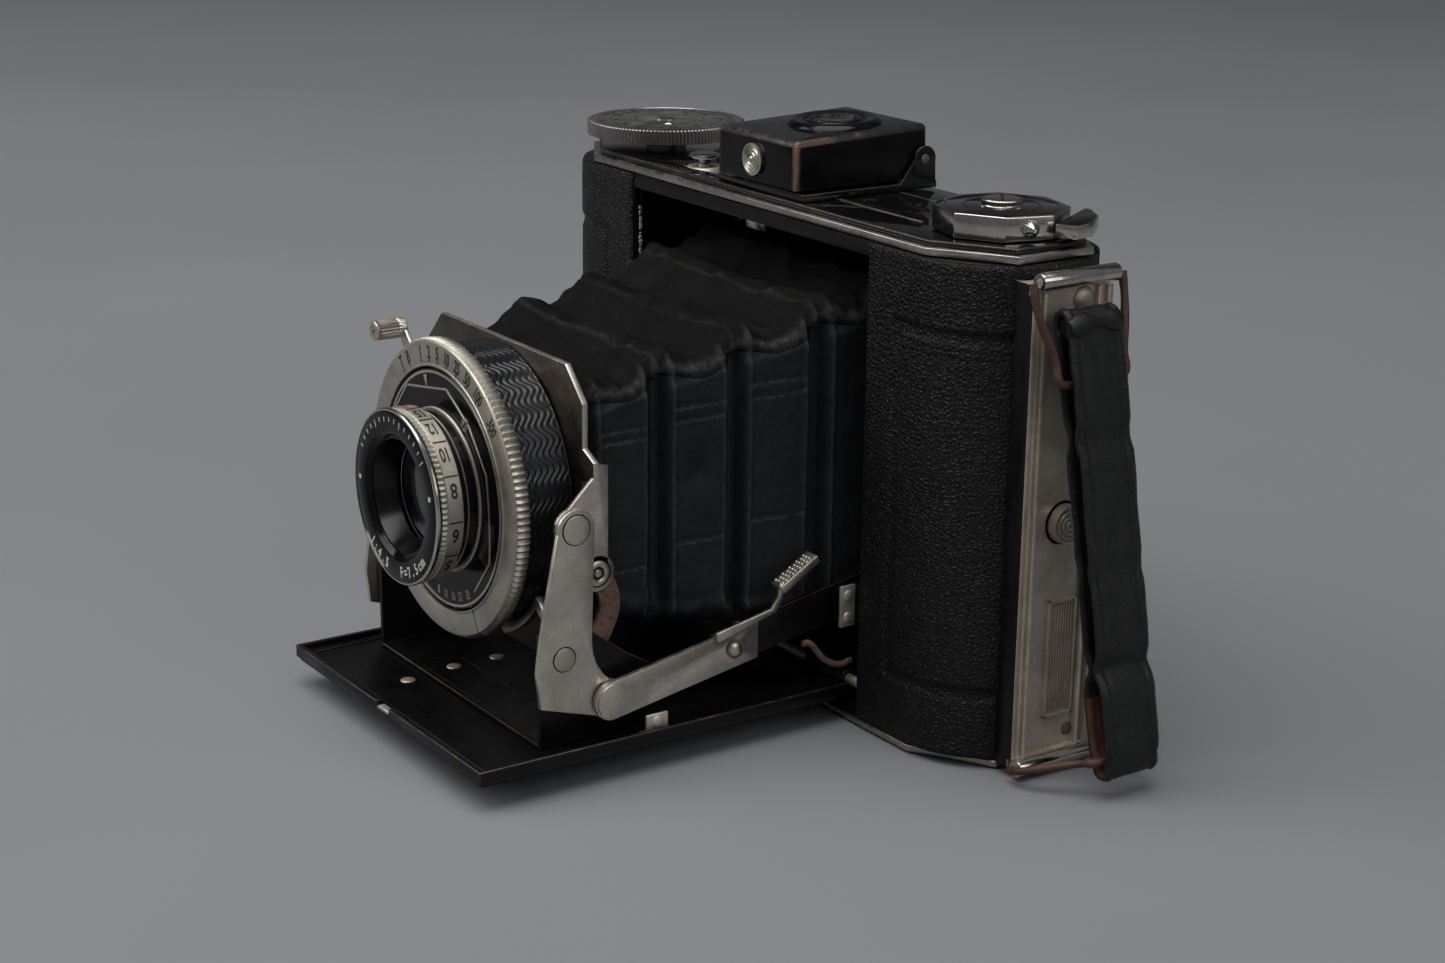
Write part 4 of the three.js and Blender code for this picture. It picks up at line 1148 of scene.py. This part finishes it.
def linkage():
    """Side plates, struts, curved links with their eyelets, closing lever and lens board."""
    plate_x = span_of("side_plate_right")[1].x
    strut_x = span_of("strut_front_right")[1].x
    ear_x = 26.2
    for name, side in (("right", 1), ("left", -1)):
        out = (side, 0, 0)
        plate = refine("side_plate_" + name, "side_plates", "worn_nickel", SATIN, 0.14)
        for at, radius in ((BOARD_PIVOT, 2.15), (BED_PIVOT, 1.75)):
            rivet(plate, mirrored((plate_x - 0.02, at.y, at.z), side), out, radius, 0.2, SATIN, True)
        plate.done()
        front = refine("strut_front_" + name, "struts", "worn_nickel", SATIN, 0.14)
        knee = mirrored((strut_x - 0.1, -34.4, 15.3), side)
        rivet(front, knee, out, 1.15, 0.55, SATIN)
        rivet(front, knee, out, 1.5, 0.14, RUST)
        front.done()
        refine("strut_rear_" + name, "struts", "black_enamel", DULL, 0.14, EDGE).done()
        link = stand_in("curved_link_" + name, "curved_links", "rusty_steel")
        low, high = span_of("curved_link_" + name)
        spine = smooth_line([(y, z, 0) for y, z in LINK_LINE], 8)
        link.add(ribbon(spine, 1.65, 2.2, low.x, high.x), RUST, 0.14)
        link.done()
        eye = Piece("link_eyelet_" + name, "standard", "worn_nickel")
        place = facing(mirrored((ear_x, *LINK_LINE[0]), side), out)
        eye.add(lathe([(0, -0.45), (2.7, -0.45), (2.75, -0.1), (2.6, 0), (0, 0)], 48, place), SATIN)
        ring = [(1.0, 0), (1.9, 0), (1.9, 0.1), (1.65, 0.28), (1.25, 0.3), (1.0, 0.1)]
        eye.add(lathe(ring, 40, place), SATIN)
        eye.add(lathe([(0, 0.0), (0.62, 0.0), (0.5, 0.18), (0, 0.25)], 24, place), SATIN)
        eye.add(washer(0, 1.05, -0.02, 0.03, 24, place), DARK_METAL)
        eye.done(40)

    lever = refine("closing_lever", "closing_lever", "worn_nickel", SATIN, 0.16)
    a, b = Vector((0, -26.8, 23.9)), Vector((0, -20.4, 27.7))
    along = (b - a).normalized()
    over = Vector((0, -along.z, along.y))
    low, high = span_of("closing_lever")
    for i in range(9):
        for k in range(4):
            at = a + along * (0.5 + 0.72 * i) + over * 0.2
            at.x = low.x + 0.45 + 0.7 * k + 0.35 * (i % 2)
            if at.x < high.x - 0.25:
                rivet(lever, at, over, 0.3, 0.28, SATIN)
    lever.done()

    board = refine("lens_board", "standard", "worn_nickel", SATIN, 0.22)
    # The board's front faces are painted darker than its edges: painted shade, with stains.
    board.dress(lambda f: f.normal.y < -0.95, STAINED_AND_SHADED)
    board.done()


# ------------------------------------------------------------------ bed
def bed_parts():
    """Bed with its clip and lines, the lens bracket, and the springs and mounts of the struts."""
    low, high = span_of("bed")
    pan = refine("bed", "bed", "black_enamel", DULL, 0.2, DARK_EDGE)
    inner = 1.7  # an edge line pressed into the floor, inside the rim
    z0, z1 = 4.95, 5.22
    x1, y0, y1 = high.x - inner, low.y + inner + 0.3, -16.0
    lines = [((-x1, x1), (y0, y0 + 0.5)), *[((x, x + 0.5), (y0, y1)) for x in (-x1, x1 - 0.5)]]
    for span_x, span_y in lines:
        pan.add(block(span_x, span_y, (z0, z1)), DULL, 0.1)
    # catch at the notch of the front edge
    pan.add(block((-1.7, 1.7), (low.y + 0.15, low.y + 1.3), (z0, z1 + 0.35)), AGED, 0.12)
    # clip with its screw beside the right bracket
    pan.add(block((27.6, 29.0), (-50.8, -45.8), (4.9, 5.4)), AGED, 0.15)
    pan.add(block((28.5, 29.0), (-50.2, -46.4), (5.2, 8.2)), AGED, 0.2)
    rivet(pan, (28.95, -48.3, 6.9), (1, 0, 0), 1.0, 0.35, AGED)
    pan.done()
    refine("bed_leather", "bed", "body_leather", GRAIN, 0.12).done()

    bracket = refine("standard_bracket", "bed", "black_enamel", DULL, 0.14, DARK_EDGE)
    top = 5.62
    lines = [((-12.4, 21.8), (-65.1, -64.9)), ((-12.4, 8.0), (-58.4, -58.25))]
    for xs, ys in [*lines, ((-12.6, -12.4), (-65.1, -58.3))]:
        bracket.add(block(xs, ys, (top - 0.05, top + 0.05)), STAINED_AND_SHADED)
    bracket.done()
    heads = Piece("bracket_rivets", "bed", "worn_nickel")
    for y in (-69.2, -61.2, -53.6):
        rivet(heads, (-9.6, y, top - 0.05 if y > -66 else 4.95), (0, 0, 1), 1.2, 0.28, AGED)
    heads.done()
    route = [(29.0, -13.2, 9.4), (29.2, -15.6, 9.2), (29.2, -18.4, 10.6), (29.1, -21.0, 13.6)]
    route.append((29.1, -22.4, 13.9))
    for name, side in (("right", 1), ("left", -1)):
        arm = Piece("bed_spring_" + name, "bed", "rusty_steel")
        arm.add(tube(smooth_line([mirrored(p, side) for p in route], 6), 0.5, 10), RUST)
        arm.done(60)
        tab = Piece("strut_mount_" + name, "camera_body", "worn_nickel")
        ends = sorted((side * 30.35, side * 30.95))
        tab.add(block(ends, (-16.8, -14.0), (15.8, 22.4)), AGED, 0.2)
        for z in (17.3, 20.8):
            rivet(tab, (side * 30.9, -15.4, z), (side, 0, 0), 0.95, 0.4, AGED)
        tab.done()


# ------------------------------------------------------------------ top of the body
def top_parts():
    """Trim, deck, bottom plate, and the bed's release button with its guide and catch."""
    refine("top_trim", "camera_body", "worn_nickel", TRIM, 0.28).done()
    top = span_of("top_deck")[1].z
    deck = refine("top_deck", "camera_body", "black_enamel", DECK, 0.25, DARK_EDGE)
    for y in (-5.7, 6.0):
        deck.add(block((13.4, 33.6), (y - 0.14, y + 0.14), (top - 0.05, top + 0.06)), SATIN)
    deck.done()
    refine("bottom_plate", "camera_body", "worn_nickel", TRIM, 0.25).done()

    button = stand_in("bed_release_button", "bed_release", "worn_nickel")
    foot, place = span_of("bed_release_button")[0].z, standing_on("bed_release_button")
    edge = [(0, foot), (1.1, foot), (1.1, 79.0), (2.4, 79.0), (2.6, 79.2), (2.55, 79.45)]
    edge += [(2.0, 79.75), (1.0, 79.88), (0, 79.9)]
    button.add(lathe(edge, 48, place), BRIGHT)
    button.done(40)
    guide = Piece("release_button_guide", "camera_body", "worn_nickel")
    guide.add(lathe([(1.3, 77.45), (2.9, 77.45), (2.8, 77.56), (1.3, 77.58)], 48, place), AGED)
    guide.done(40)
    refine("bed_catch", "bed_catch", "worn_nickel", BRIGHT, 0.15).done()


def depth_dial():
    """Serrated dial with an engraved table of distances."""
    piece = stand_in("depth_dial", "depth_dial", "worn_nickel")
    low, high = span_of("depth_dial")
    place = standing_on("depth_dial")
    teeth, top = 132, high.z
    edge = [(0, low.z), (3.5, low.z), (3.5, 79.2), (13.0, 79.2), (13.4, 79.25), (13.4, top - 0.16)]
    edge += [(13.0, top - 0.02), (12.7, top - 0.02), (12.6, top - 0.1), (12.4, top - 0.1)]
    edge += [(12.3, top - 0.06), (0, top - 0.06)]
    piece.add(lathe(edge, teeth * 6, place, toothed(teeth, 0.34, 13.3, sharp=True)), DIAL)
    thin = (top - 0.1, top - 0.02)
    for r in (11.6, 9.4, 5.2):
        piece.add(washer(r, r + 0.12, *thin, 96, place), INK)
    stops = ["4.5", "5.6", "8", "11", "16", "22", "32"]
    for i in range(36):
        start, wide = (10.4, 0.07) if i % 3 else (9.6, 0.11)
        tick = block((start, 11.5), (-wide, wide), thin)
        piece.add(tick, INK, move=turned_to(10 * i, place))
        if i % 3 == 0:
            label = str((i // 3) * 2 + 4)
            spot = turned_to(10 * i + 5, place) @ shift(8.4, 0, top - 0.06) @ spin(-90)
            piece.add(lettering(label, 1.5, spot, 0.75, 0.02), INK)
    for i, label in enumerate(stops):
        spot = turned_to(-30 + 24 * i, place) @ shift(6.4, 0, top - 0.06) @ spin(-90)
        piece.add(lettering(label, 1.3, spot, 0.75, 0.02), INK)
    for y in (-0.55, 0.55):
        piece.add(block((2.2, 11.5), (y - 0.06, y + 0.06), thin), INK, move=turned_to(-62, place))
    screw(piece, place @ shift(0, 0, top - 0.08), 1.7, 0.35, BRIGHT, 20)
    rivet(piece, place @ Vector((4.4, -2.2, top - 0.1)), (0, 0, 1), 0.9, 0.4, BRIGHT)
    piece.done()


def winder_parts():
    """Octagonal knob with its screw, the pin of its key, the take-up spool and the key flap."""
    knob = refine("winding_knob", "winder", "worn_nickel", BRIGHT, 0.2)
    knob.dress(lambda f: f.normal.z > 0.98, POLISH)
    place = standing_on("winding_knob", 81.3)
    for r, wide in ((5.4, 0.22), (8.2, 0.08)):
        knob.add(washer(r, r + wide, -0.05, 0.03, 72, place), DARK_METAL)
    edge = [(0, -0.1), (3.05, 0.3), (3.05, 0.8), (2.8, 0.98), (1.6, 1.08), (0, 1.1)]
    knob.add(lathe(edge, 264, place, toothed(44, 0.16, 2.85, 0.2, 0.85)), BRIGHT)
    knob.add(block((-2.6, 2.6), (-0.22, 0.22), (0.85, 1.12)), DARK_METAL, move=place @ spin(-38))
    tip = standing_on("winding_knob", 79.5) @ spin(-14.5) @ shift(9.0, 0, 0) @ spin(90, "Y")
    edge = [(0, -0.4), (1.3, -0.4), (1.3, 0.8), (0.95, 1.0), (0.85, 1.1), (0.25, 2.1), (0, 2.15)]
    knob.add(lathe(edge, 120, tip, toothed(20, 0.14, 1.2, high=0.9)), BRIGHT)
    knob.done()
    refine("take_up_spool", "winder", "blackened_metal", DARK_METAL, 0.15).done()
    flap = stand_in("winding_key_flap", "key_flap", "worn_nickel")
    low, high = span_of("winding_key_flap")
    tilt = standing_on("winding_knob") @ spin(30.5)
    edge = [(9.7, -4.9), (13.0, -5.0), (14.2, -1.5), (13.2, 4.0), (10.8, 8.2), (9.7, 8.2)]
    flap.add(prism(edge, "z", low.z, high.z), BRIGHT, 0.18, move=tilt)
    flap.dress(lambda f: f.normal.z > 0.95, GLOSS)
    flap.done()


def finder_parts():
    """Finder: base, box-shaped cover with a turned eyepiece ring, front frame, catch button."""
    low, high = span_of("finder_base")
    base = refine("finder_base", "camera_body", "black_enamel", DECK, 0.18, DARK_EDGE)
    for side, x in ((1, high.x), (-1, low.x)):
        rivet(base, (x - 0.05, 11.0, 82.2), (side, 0, 0), 0.8, 0.3, RUST)
    base.done()

    eye, eye_reach = centre_of("finder_eyepiece"), 7.6
    low, high = span_of("finder_cover")
    cover = stand_in("finder_cover", "finder_cover", "black_enamel")

    def flatten(bm):
        """Takes the eyepiece's rim off the cover, to make room for a turned one."""
        front = 86.6
        rear = max(v.co.z for v in bm.verts if (v.co.xy - eye.xy).length > eye_reach)
        for v in bm.verts:
            slope = front + (rear - front) * (v.co.y - low.y) / (high.y - low.y)
            if v.co.z > slope + 0.02:
                v.co.z = slope

    def outer(e):
        """Whether an edge is one of the box's upright or top ones."""
        at = (e.verts[0].co + e.verts[1].co) / 2
        across = min(abs(at.x - low.x), abs(at.x - high.x)) < 0.08
        along = min(abs(at.y - low.y), abs(at.y - high.y)) < 0.08
        return e.calc_length() > 3 and across + along + (at.z > 86.2) >= 2

    cover.cad("finder_cover", GLOSS, 0.9, DARK_EDGE, 4, flatten, outer)
    corner = lambda c: c.x > high.x - 1.0 and c.y < low.y + 1.0
    slanted = lambda n: abs(n.z) < 0.4 and abs(n.x + n.y) < 0.45
    cover.dress(lambda f: slanted(f.normal) and corner(f.calc_center_median()), EDGE)
    place = shift(eye.x, eye.y, 87.15) @ Matrix.Rotation(0.045, 4, "X")
    rim = [(3.62, -0.6), (eye_reach, -0.6), (7.5, 0.1), (7.1, 0.62), (6.5, 0.85), (5.9, 0.8)]
    rim += [(4.6, 0.3), (4.45, 0.55), (4.1, 0.7), (3.75, 0.6), (3.62, 0.4)]
    cover.add(lathe(rim, 72, place), GLOSS)
    cover.add(lathe([(3.6, 0.35), (4.0, 0.6), (3.95, 0.78), (3.7, 0.72)], 72, place), DARK_EDGE)
    cover.done(38)
    refine("finder_eyepiece", "finder_cover", "clear_glass", CLEAR, 0.1).done()
    refine("finder_front_frame", "finder_front", "worn_nickel", SATIN, 0.12).done()
    refine("finder_front_lens", "finder_front", "clear_glass", CLEAR, 0.05).done()

    button = stand_in("finder_catch_button", "finder_catch", "worn_nickel")
    low, high = span_of("finder_catch_button")
    middle = centre_of("finder_catch_button")
    tall = high.y - low.y
    place = shift(middle.x, high.y, middle.z) @ spin(90, "X")
    rings = grooved((2.4, 1.75, 1.1), tall, (0.2, 0.17), (0.22, 0.36, 0.52), 0.2)
    edge = [(0, 0), (2.4, 0), (2.5, tall - 0.45), *rings, (0.4, tall - 0.05), (0, tall)]
    button.add(lathe(edge, 48, place), SATIN)
    button.done(40)


# ------------------------------------------------------------------ strap end
STRAP_LINE = [(63.4, 68.4), (65.4, 57), (69.4, 31), (71.8, 14), (73.2, 4.6)]  # x, z
STRAP_HALF, STRAP_LOOP, STRAP_SKIN = 4.9, 1.8, 0.95


def strap_drift(z):
    """How far the strap hangs to the back at a height."""
    return 3.4 * (1 - z / 70)


def end_plate():
    """Nickel plate of the strap end, with its rails, ribs and two rolled bars."""
    face = 59.6  # x of the plate's outer face
    plate = refine("end_plate", "camera_body", "worn_nickel", AGED, 0.14)
    # ribbed field in a raised frame
    y0, y1, z0, z1 = -1.0, 4.4, 7.6, 26.0
    lines = [((y0, y1), (z, z + 0.5)) for z in (z0, z1 - 0.5)]
    lines += [((y, y + 0.5), (z0, z1)) for y in (y0, y1 - 0.5)]
    for ys, zs in lines:
        plate.add(block((face - 0.1, face + 0.4), ys, zs), AGED, 0.12)
    for i in range(8):
        y = y0 + 0.85 + 0.5 * i
        plate.add(block((face - 0.1, face + 0.22), (y, y + 0.24), (z0 + 0.9, z1 - 0.9)), AGED, 0.07)
    rivet(plate, (face - 0.05, 3.9, 5.0), (1, 0, 0), 1.1, 0.35, RUST)
    # stop under the upper bar
    plate.add(lathe(round_head(1.9, 0.9), 28, facing((face, 2.6, 70.2), (1, 0, 0))), AGED)
    plate.add(block((face - 0.1, face + 0.5), (0.2, 5.0), (67.6, 68.2)), AGED, 0.15)
    for i in range(4):
        y = 5.0 + 0.5 * i
        rib = block((face - 0.1, face + 1.2), (y, y + 0.25), (66.2 - 0.3 * i, 69.6))
        plate.add(rib, SATIN, 0.08)
    # The plate's side walls away from its face take black enamel: painted shade on nickel.
    plate.dress(lambda f: abs(f.normal.y) > 0.7 and f.calc_center_median().x < 59.2, DULL)
    plate.done()
    bars = Piece("rolled_bars", "camera_body", "worn_nickel")
    for z in (73.9, 1.6):
        place = shift(61.2, -7.1, z) @ spin(-90, "X")
        edge = [(0.75, 0), (1.22, 0), (1.3, 0.15), (1.3, 14.05), (1.22, 14.2), (0.75, 14.2)]
        bars.add(lathe(edge, 40, place), BRIGHT)
    bars.done(40)


def strap():
    """A flat loop of leather round the two wires, creased where it has been gripped."""
    across = Vector((0, 1, 0))
    line = smooth_line([(x, 0, z) for x, z in STRAP_LINE], 16)
    reach = STRAP_LOOP - STRAP_SKIN / 2
    creases = ((52.0, 0.75), (33.0, 0.45), (19.3, 0.85))  # height and depth
    outer, inner = [], []
    for i, p in enumerate(line):
        along = heading(line, i)
        out = along.cross(across) * -1
        pinch = sum(bulge(p.z, z, 1.4) * depth for z, depth in creases)
        puff = 0.55 * step(19 - p.z, 0, 4) * step(p.z, 4.6, 8) + 0.2 * uneven(p, 7)
        half = reach + (puff - pinch) * step(i, 0, 4) * step(len(line) - 1 - i, 0, 4)
        outer.append(p + out * half)
        inner.append(p - out * half)

    def turn(end, before, start):
        """Half a circle round a wire, from the start side to the other."""
        along = (end - before).normalized()
        side = (start - end).normalized()
        return [end + reach * (side * cos(a) + along * sin(a)) for a in np.linspace(0, pi, 9)[1:-1]]

    loop = [*outer, *turn(line[-1], line[-2], outer[-1]), *inner[::-1], *turn(line[0], line[1], inner[0])]
    loop = [p + across * strap_drift(p.z) for p in loop]

    def section(share):
        """Flat leather with a raised seam along both edges, on both faces."""
        points = []
        for face in (1, -1):
            for k in range(27):
                u = face * STRAP_HALF * (1 - 2 * k / 26)
                seam = 0.15 * bulge(abs(u), 4.2, 0.3) - 0.14 * bulge(abs(u), 3.5, 0.22)
                thin = 0.5 * STRAP_SKIN * (1 - (abs(u) / STRAP_HALF) ** 14 * 0.5)
                lump = 0.12 * uneven((share * 120, u, face), 2.2)
                points.append((u + 0.12 * uneven((share * 90, 0, u), 5), face * (thin + seam) + lump))
        return points

    piece = stand_in("carry_strap", "camera_body", "strap_leather")
    piece.add(band(loop, across, section), STRAP)
    middle = lambda z: np.interp(z, [h for _, h in STRAP_LINE[::-1]], [x for x, _ in STRAP_LINE[::-1]])
    inside = lambda f, c: (c.x - middle(c.z)) * f.normal.x < 0 and abs(f.normal.y) < 0.7
    low_end = lambda f, c: c.z < 15 and inside(f, c)
    piece.dress(lambda f: low_end(f, f.calc_center_median()), SUEDE)
    roll = [(64.3, -STRAP_HALF + 0.4, 67.6), (64.5, 0, 68.4), (64.3, STRAP_HALF - 0.2, 67.8)]
    piece.add(tube(smooth_line(roll, 10), lambda t: 1.5 + 0.25 * sin(9 * t), 16), STRAP)
    piece.done(50)


def stirrup(node, bar_z, strap_x, strap_z):
    """A wire from one rolled bar out to the strap, round it and back."""
    bar_x, reach = 61.2, STRAP_HALF + 1.2
    y = strap_drift(strap_z)
    legs = []
    for side in (-1, 1):
        places = [(0, 8.2 * side), (0.3, 8.0 * side)]
        places += [(0.75, y + side * (reach + 0.3)), (1, y + side * (reach - 0.4))]
        rise, climb = strap_x - bar_x, strap_z - bar_z
        legs.append([(bar_x + s * rise, w, bar_z + s * climb) for s, w in places])
    route = [*legs[0], (strap_x, y, strap_z), *legs[1][::-1]]
    piece = stand_in(node, "camera_body", "rusty_steel")
    piece.add(tube(smooth_line(route, 8), lambda t: 0.6 + 0.05 * sin(40 * t), 14), WIRE)
    piece.done(60)


# ------------------------------------------------------------------ body
def body_parts():
    """Shell, chips in its paint, and what lies inside."""
    refine("body_shell", "camera_body", "black_enamel", DULL, 0.18, DARK_EDGE).done()
    chips = Piece("paint_chips", "camera_body", "black_enamel")
    for i in range(26):
        t = i / 26
        z = 60 + 10 * t + 0.7 * uneven((i, 0, 0), 0.7)
        y = -13.4 + 0.5 * uneven((0, i, 0), 0.7)
        size = 0.16 + 0.22 * abs(uneven((0, 0, i), 0.6))
        chip = block((-31.25, -31.12), (y - size, y + 0.7 * size), (z - size, z + 1.3 * size))
        chips.add(chip, WHITE, 0.04)
    chips.done()
    refine("film_gate", "camera_body", "blackened_metal", DARK_METAL, 0.12).done()
    for side in ("right", "left"):
        refine("film_roller_" + side, "roller_" + side, "worn_nickel", SATIN, 0.1).done()
    for pin in ("bed_hinge_pin", "back_hinge_pin"):
        refine(pin, "camera_body", "worn_nickel", AGED, 0.1).done()
    refine("pressure_plate", "pressure_plate", "blackened_metal", DARK_METAL, 0.12).done()
    refine("pressure_spring", "back", "rusty_steel", DARK_METAL, 0).done()


make_floor()
make_light()
body_parts()
end_leather("leather_right", 1)
end_leather("leather_left", -1)
back_parts()
top_parts()
depth_dial()
winder_parts()
finder_parts()
end_plate()
strap()
stirrup("strap_wire_top", 73.9, 64.8, 60)
stirrup("strap_wire_bottom", 1.6, 73.0, 5.8)
bed_parts()
linkage()
bellows()
shutter_case()
speed_ring()
shutter_face()
lens_cells()
levers()

bpy.context.view_layer.update()
